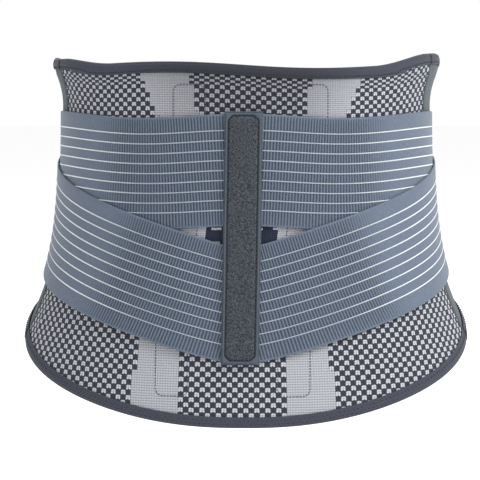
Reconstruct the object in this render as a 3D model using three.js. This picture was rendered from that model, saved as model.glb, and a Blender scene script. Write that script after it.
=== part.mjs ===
// Lumbar support belt, closed round a waist. Millimetres, +Z up, the wearer's back towards -Y,
// the origin on the body's axis at the height of the belt's lowest edge.
import * as THREE from "three";

// The waist that the belt is closed round
const waistHalfWidth = 132.75;
const hipFlare = 51.5; // added to the half width at the hips
const hipHeight = 64.5;
const hipBlend = 30.2;
const ribFlare = 10.8; // added to the half width at the ribs
const ribStart = 225;
const ribEnd = 262;
const backDepth = 106; // from the axis to the small of the back
const backHipDepth = 22;
const backHipHeight = 72;
const backHipBlend = 28;
const frontDepth = 92;
const frontHipDepth = 12;
const frontHipHeight = 90;
const frontHipBlend = 35;
const roundness = 2.12; // exponent of the cross-section's superellipse

// Outline of the belt, to the outer edges of its bindings
const knitAboveStrip = 33; // from the centre strip's top to the belt's top edge
const sideRise = 6;
const frontDrop = 23;
const bottomSweep = 70; // how fast the lower edge rises round the hips
const bottomLimit = 90; // the height that it levels out at in front
const seamTopAngle = 74; // side seam, in degrees from the middle of the back
const seamBottomAngle = 80;
const frontOverlap = 34; // each front panel passes the middle by this much
const rampEndArc = 42; // the over-panel has risen onto the under-panel here
const rampLength = 24;

// Thicknesses and clearances, from the skin outwards
const skinGap = 0.1;
const liningThickness = 0.5;
const stayThickness = 1.0;
const layerGap = 0.4; // between flat layers
const facetGap = 0.5; // between layers whose facets cross
const knitThickness = 2.0;
const frontThickness = 2.6;
const tapeThickness = 0.9;
const strapThickness = 1.4;
const stripBaseThickness = 1.0;
const velourThickness = 1.5;
const hookThickness = 1.0;
const loopThickness = 0.8;
const seamHalfGap = 0.35;

// Widths
const strapWidth = 80;
const stripWidth = 28;
const velourInset = 1.2;
const stripBottom = 44;
const stripTopMargin = 1.7; // the strip passes the straps' outer edges by these
const stripBottomMargin = 3;
const strapWindow = 15.3; // between the two straps at the middle of the back
const stripMiddleGap = 1.2; // between the strap ends under the strip
const topBindingHeight = 8.5;
const bottomBindingHeight = 7.8;
const endBindingWidth = 9;
const seamTapeWidth = 9;
const stayWidth = 11;
const pocketWidth = 28;
const pocketBottom = 22;
const pocketTopMargin = 10; // from the belt's top edge
const pocketArcTop = 46; // from the middle of the back to the middle of the pocket
const pocketArcBottom = 39;
const tipLength = 6;
const tipWidth = 12;
const frontStayLength = 110;
const frontPocketWidth = 22;
const frontStayArc = 86; // from the middle of the front
const tabLength = 34;
const tabArc = 72; // from the middle of the front to the tab's free end
const tabHeight = 74;
const peelAngle = 104; // where the front straps lift off, in degrees from the middle of the back
const labelWidth = 24;
const labelHeight = 36;

// Strap routes: heights of the centre lines
const upperStrapDip = 3.3;
const upperDipAngle = 76;
const lowerStrapRise = 47;
const lowerRiseStart = 5;
const lowerRiseEnd = 76;
const lowerRisePower = 1.15;
const strapMeetHeight = 162;
const strapMeetAngle = 136;
const upperBendAngle = 80;
const strapStackStart = 9; // the lower strap climbs onto the upper one between these angles
const strapStackEnd = 22;

const columnLength = 13.8;
const tabColumnLength = 3.5;
const rowStep = 8.5;
const strapRowStep = 18;
const waistHeight = 162; // where arcs along the front are measured

// Heights worked out from the straps, from the bottom up
const lowerStrapHeight = stripBottom + stripBottomMargin + strapWidth / 2;
const upperStrapHeight = lowerStrapHeight + strapWidth + strapWindow;
const stripTop = upperStrapHeight + strapWidth / 2 + stripTopMargin;
const backTop = stripTop + knitAboveStrip;
const pocketTop = backTop - pocketTopMargin;

// Layers worked out from the thicknesses: distance of each inner face from the skin
const stayInner = skinGap + liningThickness + layerGap;
const panelInner = stayInner + stayThickness + layerGap;
const frontOuter = panelInner + Math.max(frontThickness, knitThickness);
const strapInner = frontOuter + facetGap;
const crossedInner = strapInner + strapThickness + facetGap;
const stripBaseInner = strapInner + strapThickness + facetGap;
const velourInner = stripBaseInner + stripBaseThickness + layerGap;
const overHookInner = strapInner + hookThickness + facetGap;
const loopInner = frontOuter + facetGap;
const overBindingInner = frontOuter + facetGap + tapeThickness + facetGap;
const overPanelInner = overBindingInner + tapeThickness + facetGap;
const closureHookInner = overPanelInner - layerGap - hookThickness;

function sigmoid(height, middle, blend) {
  return 1 / (1 + Math.exp((height - middle) / blend));
}

function smooth(value) {
  const t = Math.min(Math.max(value, 0), 1);
  return t * t * (3 - 2 * t);
}

function between(low, high, value) {
  return (value - low) / (high - low);
}

// A point on the skin. angle is in degrees from the middle of the back, positive towards +X.
function skin(angle, z) {
  const climb = Math.max(between(ribStart, ribEnd, z), 0);
  const rib = climb < 1 ? climb ** 2 : 2 * climb - 1;
  const width = waistHalfWidth + hipFlare * sigmoid(z, hipHeight, hipBlend) + ribFlare * rib;
  const back = backDepth + backHipDepth * sigmoid(z, backHipHeight, backHipBlend);
  const front = frontDepth + frontHipDepth * sigmoid(z, frontHipHeight, frontHipBlend);
  const a = THREE.MathUtils.degToRad(angle);
  const depth = Math.cos(a) > 0 ? back : front;
  const shape = Math.abs(Math.cos(a) / depth) ** roundness + Math.abs(Math.sin(a) / width) ** roundness;
  const radius = shape ** (-1 / roundness);
  return new THREE.Vector3(radius * Math.sin(a), -radius * Math.cos(a), z);
}

// A point at a distance out from the skin
function onBody(angle, z, offset) {
  const round = skin(angle + 0.1, z).sub(skin(angle - 0.1, z));
  const up = skin(angle, z + 0.1).sub(skin(angle, z - 0.1));
  const normal = round.cross(up).normalize();
  return skin(angle, z).addScaledVector(normal, offset);
}

// The angle that lies an arc length from the middle of the back, at one height
function angleAtArc(arc, z) {
  const step = 0.5;
  let angle = 0;
  let length = 0;
  let stretch = skin(step, z).distanceTo(skin(0, z));
  while (length + stretch < Math.abs(arc)) {
    length += stretch;
    angle += step;
    stretch = skin(angle + step, z).distanceTo(skin(angle, z));
  }
  return Math.sign(arc) * (angle + (step * (Math.abs(arc) - length)) / stretch);
}

function arcAtAngle(angle, z) {
  const steps = 360;
  let length = 0;
  for (let i = 0; i < steps; i++) {
    length += skin((angle * (i + 1)) / steps, z).distanceTo(skin((angle * i) / steps, z));
  }
  return length;
}

const halfGirth = arcAtAngle(180, waistHeight);

// The angle that lies an arc length short of the middle of the front (past it when negative)
function angleFromFront(arc) {
  const angle = angleAtArc(halfGirth - Math.abs(arc), waistHeight);
  return arc < 0 ? 360 - angle : angle;
}

// Outline of the belt's edges and the side seam
function topEdge(angle) {
  const round = Math.abs(angle);
  return backTop + sideRise * smooth(between(50, 75, round)) - frontDrop * smooth(between(88, 140, round));
}

function bottomEdge(angle) {
  const sweep = bottomSweep * (1 - Math.cos(THREE.MathUtils.degToRad(angle))) ** 1.25;
  return (bottomLimit * sweep) / (bottomLimit ** 4 + sweep ** 4) ** 0.25;
}

function seamAngle(z) {
  return THREE.MathUtils.mapLinear(z, topEdge(75), bottomEdge(78), seamTopAngle, seamBottomAngle);
}

// The side seam moved along the skin, so that what meets there keeps a gap
function besideSeam(distance) {
  return (z) => seamAngle(z) + THREE.MathUtils.radToDeg(distance / waistHalfWidth);
}

// Strap centre lines, by angle from the middle of the back
function upperCentre(angle) {
  const dip = Math.sin((Math.PI * Math.min(angle, upperDipAngle)) / upperDipAngle) ** 2;
  const fall = smooth(between(upperBendAngle, strapMeetAngle, angle));
  return upperStrapHeight - upperStrapDip * dip - (upperStrapHeight - strapMeetHeight) * fall;
}

function lowerCentre(angle) {
  const rise = Math.min(Math.max(between(lowerRiseStart, lowerRiseEnd, angle), 0), 1) ** lowerRisePower;
  const side = lowerStrapHeight + lowerStrapRise;
  const rest = 1 - Math.min(Math.max(between(lowerRiseEnd, strapMeetAngle, angle), 0), 1);
  return lowerStrapHeight + lowerStrapRise * rise + (strapMeetHeight - side) * (1 - rest ** 1.63);
}

function strapHalfHeight(centre, angle) {
  const run = arcAtAngle(angle + 2, waistHeight) - arcAtAngle(angle - 2, waistHeight);
  const slope = (centre(angle + 2) - centre(angle - 2)) / run;
  return (strapWidth / 2) * Math.hypot(1, slope);
}

function lowerStrapInner(angle) {
  const climb = smooth(between(strapStackStart, strapStackEnd, Math.abs(angle)));
  return strapInner + (crossedInner - strapInner) * climb;
}

function columnCount(first, last, length) {
  return Math.ceil((THREE.MathUtils.degToRad(Math.abs(last - first)) * waistHalfWidth) / length);
}

// A closed solid from rows of [inner, outer] pairs of points
function solidFromPairs(rows) {
  const across = rows[0].length;
  const points = rows.flat(2);
  const index = [];
  const quad = (a, b, c, d) => index.push(a, b, c, a, c, d);
  const at = (row, column, outer) => 2 * (row * across + column) + outer;
  for (let r = 0; r + 1 < rows.length; r++) {
    for (let c = 0; c + 1 < across; c++) {
      quad(at(r, c, 1), at(r, c + 1, 1), at(r + 1, c + 1, 1), at(r + 1, c, 1));
      quad(at(r, c, 0), at(r + 1, c, 0), at(r + 1, c + 1, 0), at(r, c + 1, 0));
    }
    quad(at(r, 0, 0), at(r, 0, 1), at(r + 1, 0, 1), at(r + 1, 0, 0));
    quad(at(r, across - 1, 1), at(r, across - 1, 0), at(r + 1, across - 1, 0), at(r + 1, across - 1, 1));
  }
  const last = rows.length - 1;
  for (let c = 0; c + 1 < across; c++) {
    quad(at(0, c, 0), at(0, c + 1, 0), at(0, c + 1, 1), at(0, c, 1));
    quad(at(last, c, 0), at(last, c, 1), at(last, c + 1, 1), at(last, c + 1, 0));
  }
  let volume = 0;
  for (let i = 0; i < index.length; i += 3) {
    const [a, b, c] = [points[index[i]], points[index[i + 1]], points[index[i + 2]]];
    volume += a.dot(b.clone().cross(c));
  }
  const geometry = new THREE.BufferGeometry();
  geometry.setAttribute("position", new THREE.Float32BufferAttribute(points.flatMap((p) => p.toArray()), 3));
  geometry.setIndex(volume < 0 ? index.reverse() : index);
  return geometry.toNonIndexed();
}

// A sheet that lies round the body. start and end are angles or functions of height, low and high
// functions of the angle, inner the distance of its inner face from the skin.
function wrappedSheet({ side = 1, start, end, low, high, inner, thickness, step = columnLength, row = strapRowStep }) {
  const angleOf = (edge, z) => (typeof edge === "function" ? edge(z) : edge);
  const innerAt = typeof inner === "function" ? inner : () => inner;
  const first = angleOf(start, waistHeight);
  const last = angleOf(end, waistHeight);
  const columns = Math.max(columnCount(first, last, step), 2);
  const middle = (first + last) / 2;
  const count = Math.max(Math.round((high(middle) - low(middle)) / row), 2);
  const rows = [];
  for (let c = 0; c <= columns; c++) {
    const nominal = first + ((last - first) * c) / columns;
    const pairs = [];
    for (let r = 0; r <= count; r++) {
      const z = low(nominal) + ((high(nominal) - low(nominal)) * r) / count;
      const angle = angleOf(start, z) + ((angleOf(end, z) - angleOf(start, z)) * c) / columns;
      const base = innerAt(angle);
      pairs.push([onBody(side * angle, z, base), onBody(side * angle, z, base + thickness)]);
    }
    rows.push(pairs);
  }
  return solidFromPairs(rows);
}

// A tape folded over an edge that runs round the body. up is 1 on a top edge and -1 on a bottom edge.
function edgeBinding({ side = 1, start, end, edge, up, height, inner, thickness }) {
  const innerAt = typeof inner === "function" ? inner : () => inner;
  const first = start(waistHeight);
  const last = end(waistHeight);
  const columns = columnCount(first, last, columnLength);
  const rows = [];
  for (let c = 0; c <= columns; c++) {
    const nominal = first + ((last - first) * c) / columns;
    const rim = edge(nominal);
    const fold = rim - up * tapeThickness;
    const hem = rim - up * height;
    const path = [
      [hem, hem, 1],
      [fold, rim, 1],
      [fold, rim, -1],
      [hem, hem, -1],
    ];
    const place = (z, face, extra) => {
      const angle = start(z) + ((end(z) - start(z)) * c) / columns;
      const near = face > 0 ? innerAt(angle) + thickness + facetGap : innerAt(angle) - facetGap;
      return onBody(side * angle, z, near + face * extra);
    };
    rows.push(path.map(([innerZ, outerZ, face]) => [
      place(innerZ, face, 0),
      place(outerZ, face, tapeThickness),
    ]));
  }
  return solidFromPairs(rows);
}

// A tape folded over the upright end of a front panel
function endBinding({ side, angle, low, high, inner, thickness }) {
  const fold = endAngleShift(tapeThickness);
  const hem = endAngleShift(endBindingWidth);
  const path = [
    [angle - hem, angle - hem, 1],
    [angle - fold, angle, 1],
    [angle - fold, angle, -1],
    [angle - hem, angle - hem, -1],
  ];
  const count = Math.round((high - low) / strapRowStep);
  const rows = [];
  for (let r = 0; r <= count; r++) {
    const z = low + ((high - low) * r) / count;
    rows.push(path.map(([innerAngle, outerAngle, face]) => {
      const near = face > 0 ? inner + thickness + facetGap : inner - facetGap;
      return [
        onBody(side * innerAngle, z, near),
        onBody(side * outerAngle, z, near + face * tapeThickness),
      ];
    }));
  }
  return solidFromPairs(rows);
}

// An arc near the middle of the front, as an angle
function endAngleShift(arc) {
  return THREE.MathUtils.radToDeg(arc / frontDepth);
}

// A strip that stands upright, centred on an arc from the middle of the back. widthAt gives its
// width by height, and profile its [across, inner, outer] stations over half widths.
function uprightStrip({ arcAt, low, high, widthAt, profile, steps }) {
  const rows = [];
  for (let r = 0; r <= steps; r++) {
    const z = low + ((high - low) * r) / steps;
    rows.push(profile.map(([across, inner, outer]) => {
      const angle = angleAtArc(arcAt(z) + (across * widthAt(z)) / 2, z);
      return [onBody(angle, z, inner), onBody(angle, z, outer)];
    }));
  }
  return solidFromPairs(rows);
}

function flatProfile(inner, thickness) {
  return [-1, 0, 1].map((across) => [across, inner, inner + thickness]);
}

// A channel that is open towards the panel, with a flange along each side
function channelProfile(width, channelWidth) {
  const shoulder = (channelWidth + 4) / width;
  const flange = (channelWidth + 7) / width;
  const low = skinGap;
  const high = panelInner - layerGap - liningThickness;
  return [
    [-1, high, high + liningThickness],
    [-flange, high, high + liningThickness],
    [-shoulder, low, low + liningThickness],
    [0, low, low + liningThickness],
    [shoulder, low, low + liningThickness],
    [flange, high, high + liningThickness],
    [1, high, high + liningThickness],
  ];
}

const finishes = {
  knit: { color: 0x5d6370, roughness: 0.9 },
  binding: { color: 0x4b4f5c, roughness: 0.85 },
  strap: { color: 0x66778a, roughness: 0.8 },
  velour: { color: 0x43494f, roughness: 0.95 },
  panel: { color: 0x5c686d, roughness: 0.9 },
  lining: { color: 0x3f444c, roughness: 0.9 },
  steel: { color: 0xb8bcc2, roughness: 0.35, metalness: 1 },
  tip: { color: 0xe4e4e0, roughness: 0.5 },
  hook: { color: 0x23262b, roughness: 0.8 },
  label: { color: 0xeeeeea, roughness: 0.8 },
};

const belt = new THREE.Group();

function add(name, geometry, finish) {
  const mesh = new THREE.Mesh(geometry, new THREE.MeshStandardMaterial(finishes[finish]));
  mesh.name = name;
  belt.add(mesh);
}

const rimInset = tapeThickness + facetGap;
const sides = [["left", -1], ["right", 1]];
const seamBack = besideSeam(-seamHalfGap);
const seamFront = besideSeam(seamHalfGap);
const frontEnd = angleFromFront(-frontOverlap);
const panelEnd = frontEnd - endAngleShift(rimInset);

// The over-panel lies on the skin and climbs onto the under-panel before the middle of the front
function overInner(angle) {
  const climb = smooth(between(angleFromFront(rampEndArc + rampLength), angleFromFront(rampEndArc), angle));
  return panelInner + (overPanelInner - panelInner) * climb;
}

const frontLayers = {
  left: overInner,
  right: () => panelInner,
};

function addBackPanel() {
  add("back_knit_panel", wrappedSheet({
    start: (z) => -seamBack(z),
    end: seamBack,
    low: (angle) => bottomEdge(angle) + rimInset,
    high: (angle) => topEdge(angle) - rimInset,
    inner: panelInner,
    thickness: knitThickness,
    row: rowStep,
  }), "knit");
  const bindings = [
    ["back_top_binding", topEdge, 1, topBindingHeight],
    ["back_bottom_binding", bottomEdge, -1, bottomBindingHeight],
  ];
  for (const [name, edge, up, height] of bindings) {
    add(name, edgeBinding({
      start: (z) => -seamBack(z),
      end: seamBack,
      edge,
      up,
      height,
      inner: panelInner,
      thickness: knitThickness,
    }), "binding");
  }
}

function addStays() {
  const clearance = 4;
  for (const [name, side] of sides) {
    const arcAt = (z) => side * THREE.MathUtils.mapLinear(z, pocketBottom, pocketTop, pocketArcBottom, pocketArcTop);
    const stayLow = pocketBottom + clearance + tipLength;
    const stayHigh = pocketTop - clearance - tipLength;
    add(`${name}_stay_pocket`, uprightStrip({
      arcAt,
      low: pocketBottom,
      high: pocketTop,
      widthAt: () => pocketWidth,
      profile: channelProfile(pocketWidth, tipWidth),
      steps: 13,
    }), "lining");
    add(`${name}_back_stay`, uprightStrip({
      arcAt,
      low: stayLow,
      high: stayHigh,
      widthAt: () => stayWidth,
      profile: flatProfile(stayInner, stayThickness),
      steps: 13,
    }), "steel");
    for (const [place, start, outward] of [["top", stayHigh, 1], ["bottom", stayLow, -1]]) {
      const from = start + outward * layerGap;
      const to = from + outward * tipLength;
      add(`${name}_stay_${place}_tip`, uprightStrip({
        arcAt,
        low: Math.min(from, to),
        high: Math.max(from, to),
        widthAt: (z) => tipWidth * Math.sqrt(1 - 0.9 * between(from, to, z) ** 2),
        profile: flatProfile(stayInner, stayThickness),
        steps: 4,
      }), "tip");
    }
  }
}

function addCentreStrip() {
  add("centre_strip_base", uprightStrip({
    arcAt: () => 0,
    low: stripBottom,
    high: stripTop,
    widthAt: () => stripWidth,
    profile: flatProfile(stripBaseInner, stripBaseThickness),
    steps: 11,
  }), "binding");
  add("centre_velour_strip", uprightStrip({
    arcAt: () => 0,
    low: stripBottom + velourInset,
    high: stripTop - velourInset,
    widthAt: () => stripWidth - 2 * velourInset,
    profile: flatProfile(velourInner, velourThickness),
    steps: 11,
  }), "velour");
}

// Each strap is in three lengths: on the back, on the front panel's side, and the end that peels off
function addStraps() {
  const underStrip = angleAtArc(stripMiddleGap / 2, waistHeight);
  const tabStart = angleFromFront(tabArc + tabLength);
  const overlapUnderTab = THREE.MathUtils.radToDeg(14 / frontDepth);
  const strapEnd = tabStart + overlapUnderTab;
  const peelGap = THREE.MathUtils.radToDeg(seamHalfGap / waistHalfWidth);
  const lengths = [
    ["back", underStrip, seamBack],
    ["side", seamFront, peelAngle - peelGap],
    ["front", peelAngle + peelGap, strapEnd],
  ];
  const routes = [
    ["upper", upperCentre, () => strapInner],
    ["lower", lowerCentre, lowerStrapInner],
  ];
  for (const [name, side] of sides) {
    for (const [level, centre, inner] of routes) {
      for (const [place, start, end] of lengths) {
        add(`${name}_${level}_strap_${place}`, wrappedSheet({
          side,
          start,
          end,
          low: (angle) => centre(angle) - strapHalfHeight(centre, angle),
          high: (angle) => centre(angle) + strapHalfHeight(centre, angle),
          inner,
          thickness: strapThickness,
        }), "strap");
      }
    }
    addPullTab(name, side, tabStart, strapEnd);
  }
}

// The tab is sewn over the two strap ends, and its hook pad lies beyond them against the panel
function addPullTab(name, side, tabStart, strapEnd) {
  const tabEnd = angleFromFront(tabArc);
  const overStraps = crossedInner + strapThickness + facetGap;
  const leave = strapEnd + endAngleShift(2);
  const settle = leave + endAngleShift(5);
  const half = (angle) => (tabHeight / 2) * (1 - 0.12 * between(tabStart, tabEnd, angle) ** 3);
  add(`${name}_pull_tab`, wrappedSheet({
    side,
    start: tabStart,
    end: tabEnd,
    low: (angle) => strapMeetHeight - half(angle),
    high: (angle) => strapMeetHeight + half(angle),
    inner: (angle) => overStraps + (overHookInner - overStraps) * smooth(between(leave, settle, angle)),
    thickness: strapThickness,
    step: tabColumnLength,
  }), "panel");
  add(`${name}_tab_hook`, wrappedSheet({
    side,
    start: settle + endAngleShift(1),
    end: tabEnd - endAngleShift(1.5),
    low: (angle) => strapMeetHeight - half(angle) + 3,
    high: (angle) => strapMeetHeight + half(angle) - 3,
    inner: strapInner,
    thickness: hookThickness,
  }), "hook");
}

function addFrontPanels() {
  for (const [name, side] of sides) {
    const inner = frontLayers[name];
    add(`${name}_front_panel`, wrappedSheet({
      side,
      start: seamFront,
      end: panelEnd,
      low: (angle) => bottomEdge(angle) + rimInset,
      high: (angle) => topEdge(angle) - rimInset,
      inner,
      thickness: frontThickness,
      row: rowStep,
    }), "panel");
    const bindings = [
      ["top", topEdge, 1, topBindingHeight],
      ["bottom", bottomEdge, -1, bottomBindingHeight],
    ];
    for (const [place, edge, up, height] of bindings) {
      add(`${name}_front_${place}_binding`, edgeBinding({
        side,
        start: seamFront,
        end: () => panelEnd,
        edge,
        up,
        height,
        inner,
        thickness: frontThickness,
      }), "binding");
    }
    add(`${name}_front_end_binding`, endBinding({
      side,
      angle: frontEnd,
      low: bottomEdge(180) + bottomBindingHeight + facetGap,
      high: topEdge(180) - topBindingHeight - facetGap,
      inner: inner(frontEnd),
      thickness: frontThickness,
    }), "binding");
    addFrontStay(name, side);
  }
}

function addFrontStay(name, side) {
  const middle = (topEdge(180) + bottomEdge(180)) / 2;
  const low = middle - frontStayLength / 2;
  const high = middle + frontStayLength / 2;
  const arcAt = (z) => side * arcAtAngle(angleFromFront(frontStayArc), z);
  add(`${name}_front_stay`, uprightStrip({
    arcAt,
    low,
    high,
    widthAt: () => stayWidth,
    profile: flatProfile(stayInner, stayThickness),
    steps: 8,
  }), "tip");
  add(`${name}_front_stay_pocket`, uprightStrip({
    arcAt,
    low: low - 4,
    high: high + 4,
    widthAt: () => frontPocketWidth,
    profile: channelProfile(frontPocketWidth, stayWidth),
    steps: 8,
  }), "lining");
}

// Hooks on the inside of the over-panel catch the loop patch on the under-panel
function addClosure() {
  const edge = 12;
  const low = () => bottomEdge(180) + bottomBindingHeight + edge;
  const high = () => topEdge(180) - topBindingHeight - edge;
  const hem = endAngleShift(endBindingWidth + 1.5);
  add("left_closure_hook", wrappedSheet({
    side: -1,
    start: angleFromFront(frontOverlap - 10),
    end: frontEnd - hem,
    low,
    high,
    inner: closureHookInner,
    thickness: hookThickness,
  }), "hook");
  add("right_closure_loop", wrappedSheet({
    side: 1,
    start: angleFromFront(frontOverlap - 10),
    end: frontEnd - hem,
    low,
    high,
    inner: loopInner,
    thickness: loopThickness,
  }), "velour");
}

function addSeamTapesAndLabel() {
  const clear = 12;
  const inner = panelInner - facetGap - tapeThickness;
  for (const [name, side] of sides) {
    add(`${name}_seam_tape`, wrappedSheet({
      side,
      start: besideSeam(-seamHalfGap - seamTapeWidth),
      end: seamBack,
      low: (angle) => bottomEdge(angle) + bottomBindingHeight + clear,
      high: (angle) => topEdge(angle) - topBindingHeight - clear,
      inner,
      thickness: tapeThickness,
      row: rowStep,
    }), "binding");
  }
  const labelArc = arcAtAngle(seamAngle(waistHeight), waistHeight) - seamTapeWidth - labelWidth;
  add("blank_care_label", uprightStrip({
    arcAt: () => -labelArc,
    low: waistHeight - labelHeight / 2,
    high: waistHeight + labelHeight / 2,
    widthAt: () => labelWidth,
    profile: flatProfile(stayInner, liningThickness),
    steps: 3,
  }), "label");
}

addBackPanel();
addStays();
addCentreStrip();
addStraps();
addFrontPanels();
addClosure();
addSeamTapesAndLabel();

export default belt;
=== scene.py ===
import math

import bmesh
import bpy
import numpy as np
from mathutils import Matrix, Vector


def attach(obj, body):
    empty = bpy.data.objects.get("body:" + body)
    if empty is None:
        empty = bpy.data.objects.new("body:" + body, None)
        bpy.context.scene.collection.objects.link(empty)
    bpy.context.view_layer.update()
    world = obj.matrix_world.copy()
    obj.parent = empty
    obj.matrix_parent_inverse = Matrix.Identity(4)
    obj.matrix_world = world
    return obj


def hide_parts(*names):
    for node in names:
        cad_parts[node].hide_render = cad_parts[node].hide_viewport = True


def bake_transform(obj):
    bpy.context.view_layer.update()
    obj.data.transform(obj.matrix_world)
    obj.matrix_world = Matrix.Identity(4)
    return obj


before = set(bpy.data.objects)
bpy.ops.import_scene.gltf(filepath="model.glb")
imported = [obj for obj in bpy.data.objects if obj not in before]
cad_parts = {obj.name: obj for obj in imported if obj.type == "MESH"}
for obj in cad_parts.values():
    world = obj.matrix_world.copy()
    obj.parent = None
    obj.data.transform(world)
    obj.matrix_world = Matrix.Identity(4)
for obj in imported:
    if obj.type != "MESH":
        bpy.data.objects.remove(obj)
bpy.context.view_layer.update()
mm = 0.001
sides = (("left", -1), ("right", 1))
print("frame loaded:", len(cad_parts), "CAD nodes")

# Seen from behind the wearer, nearly level and a little from the right
camera = {
    "distance": 1.8,
    "target": (0.0, 0.0, 0.120),
    "elevation": 4.5,
    "azimuth": 1.47,
    "lens": 177.9,
    "shiftX": -0.0133,
    "shiftY": 0.0110,
}


def makeCamera(c):
    data = bpy.data.cameras.new("camera")
    data.lens = c["lens"]
    data.sensor_width = 36.0
    data.shift_x = c["shiftX"]
    data.shift_y = c["shiftY"]
    data.clip_end = 20.0
    obj = bpy.data.objects.new("camera", data)
    bpy.context.scene.collection.objects.link(obj)
    e = math.radians(c["elevation"])
    a = math.radians(c["azimuth"])
    away = Vector((math.sin(a) * math.cos(e), -math.cos(a) * math.cos(e), math.sin(e)))
    obj.location = Vector(c["target"]) + away * c["distance"]
    obj.rotation_euler = away.to_track_quat("Z", "Y").to_euler()
    bpy.context.scene.camera = obj


makeCamera(camera)

# The waist that the belt is closed round, as in the CAD part: millimetres, and degrees from the
# middle of the back, positive towards +X
waist = {
    "halfWidth": 132.75,
    "hipFlare": 51.5,
    "hipHeight": 64.5,
    "hipBlend": 30.2,
    "ribFlare": 10.8,
    "ribStart": 225.0,
    "ribEnd": 262.0,
    "ribStop": 253.0,  # the rolled top edge stands straight above this
    "backDepth": 106.0,
    "backHipDepth": 22.0,
    "backHipHeight": 72.0,
    "backHipBlend": 28.0,
    "frontDepth": 92.0,
    "frontHipDepth": 12.0,
    "frontHipHeight": 90.0,
    "frontHipBlend": 35.0,
    "roundness": 2.12,
    "height": 162.0,  # where arcs round the front are measured
}


def sigmoid(height, middle, blend):
    return 1.0 / (1.0 + np.exp((height - middle) / blend))


def smooth(value):
    t = np.clip(value, 0.0, 1.0)
    return t * t * (3.0 - 2.0 * t)


def share(low, high, value):
    return (value - low) / (high - low)


def skin(angle, z):
    w = waist
    climb = np.maximum(share(w["ribStart"], w["ribEnd"], np.minimum(z, w["ribStop"])), 0.0)
    rib = np.where(climb < 1.0, climb**2, 2.0 * climb - 1.0)
    width = w["halfWidth"] + w["hipFlare"] * sigmoid(z, w["hipHeight"], w["hipBlend"]) + w["ribFlare"] * rib
    back = w["backDepth"] + w["backHipDepth"] * sigmoid(z, w["backHipHeight"], w["backHipBlend"])
    front = w["frontDepth"] + w["frontHipDepth"] * sigmoid(z, w["frontHipHeight"], w["frontHipBlend"])
    a = np.radians(angle)
    n = w["roundness"]
    depth = np.where(np.cos(a) > 0.0, back, front)
    radius = (np.abs(np.cos(a) / depth) ** n + np.abs(np.sin(a) / width) ** n) ** (-1.0 / n)
    return np.stack([radius * np.sin(a), -radius * np.cos(a), z + 0.0 * radius], -1)


def onBody(angle, z, offset):
    angle, z, offset = np.broadcast_arrays(*(np.asarray(v, float) for v in (angle, z, offset)))
    around = skin(angle + 0.1, z) - skin(angle - 0.1, z)
    up = skin(angle, z + 0.1) - skin(angle, z - 0.1)
    normal = np.cross(around, up)
    normal /= np.linalg.norm(normal, axis=-1, keepdims=True)
    return skin(angle, z) + normal * offset[..., None]


# Arc length from the middle of the back by angle and height, worked out once
tableStep = 0.5
tableAngles = np.arange(0.0, 231.0, tableStep)
tableHeights = np.arange(-24.0, 292.0, 4.0)
tableLengths = np.linalg.norm(np.diff(skin(tableAngles[None, :], tableHeights[:, None]), axis=1), axis=-1)
tableArcs = np.concatenate([np.zeros((len(tableHeights), 1)), np.cumsum(tableLengths, axis=1)], axis=1)
tableBack = np.stack([np.interp(np.arange(0.0, 430.0), row, tableAngles) for row in tableArcs])


def lookUp(table, z, column):
    row = np.clip((z - tableHeights[0]) / 4.0, 0.0, table.shape[0] - 1.001)
    column = np.clip(column, 0.0, table.shape[1] - 1.001)
    r = row.astype(int)
    c = column.astype(int)
    low = table[r, c] + (table[r, c + 1] - table[r, c]) * (column - c)
    high = table[r + 1, c] + (table[r + 1, c + 1] - table[r + 1, c]) * (column - c)
    return low + (high - low) * (row - r)


def angleAtArc(arc, z):
    arc, z = np.broadcast_arrays(np.asarray(arc, float), np.asarray(z, float))
    return np.sign(arc) * lookUp(tableBack, z, np.abs(arc))


def arcAtAngle(angle, z):
    angle, z = np.broadcast_arrays(np.asarray(angle, float), np.asarray(z, float))
    return np.sign(angle) * lookUp(tableArcs, z, np.abs(angle) / tableStep)


halfGirth = float(arcAtAngle(180.0, waist["height"]))


# The angle at an arc short of the middle of the front, past it when negative
def angleFromFront(arc):
    angle = float(angleAtArc(halfGirth - abs(arc), waist["height"]))
    return 360.0 - angle if arc < 0 else angle


def frontShift(arc):
    return math.degrees(arc / waist["frontDepth"])


# Outline of the belt to the outer edges of its bindings, and its side seam
outline = {
    "top": 257.0,
    "sideRise": 6.0,
    "sway": 2.3,  # the top edge lies a little higher on the left, lower on the right
    "swayAngle": 58.0,
    "frontDrop": 23.0,
    "bottomSweep": 70.0,
    "bottomLimit": 90.0,
    "seamTop": 74.0,
    "seamBottom": 80.0,
    "frontOverlap": 34.0,
    "rampEnd": 42.0,
    "rampLength": 24.0,
}


def topEdge(angle):
    o = outline
    turn = np.abs(angle)
    sway = o["sway"] * np.sin(np.pi * angle / o["swayAngle"]) * smooth(share(100, 80, turn))
    rise = o["sideRise"] * smooth(share(50, 75, turn))
    return o["top"] + rise - o["frontDrop"] * smooth(share(88, 140, turn)) - sway


def bottomEdge(angle):
    o = outline
    sweep = o["bottomSweep"] * np.maximum(1.0 - np.cos(np.radians(angle)), 0.0) ** 1.25
    return o["bottomLimit"] * sweep / (o["bottomLimit"] ** 4 + sweep**4) ** 0.25


def seamAngle(z):
    o = outline
    return o["seamTop"] + (o["seamBottom"] - o["seamTop"]) * share(
        o["top"] + o["sideRise"], bottomEdge(78.0), z
    )


frontEnd = angleFromFront(-outline["frontOverlap"])

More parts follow.
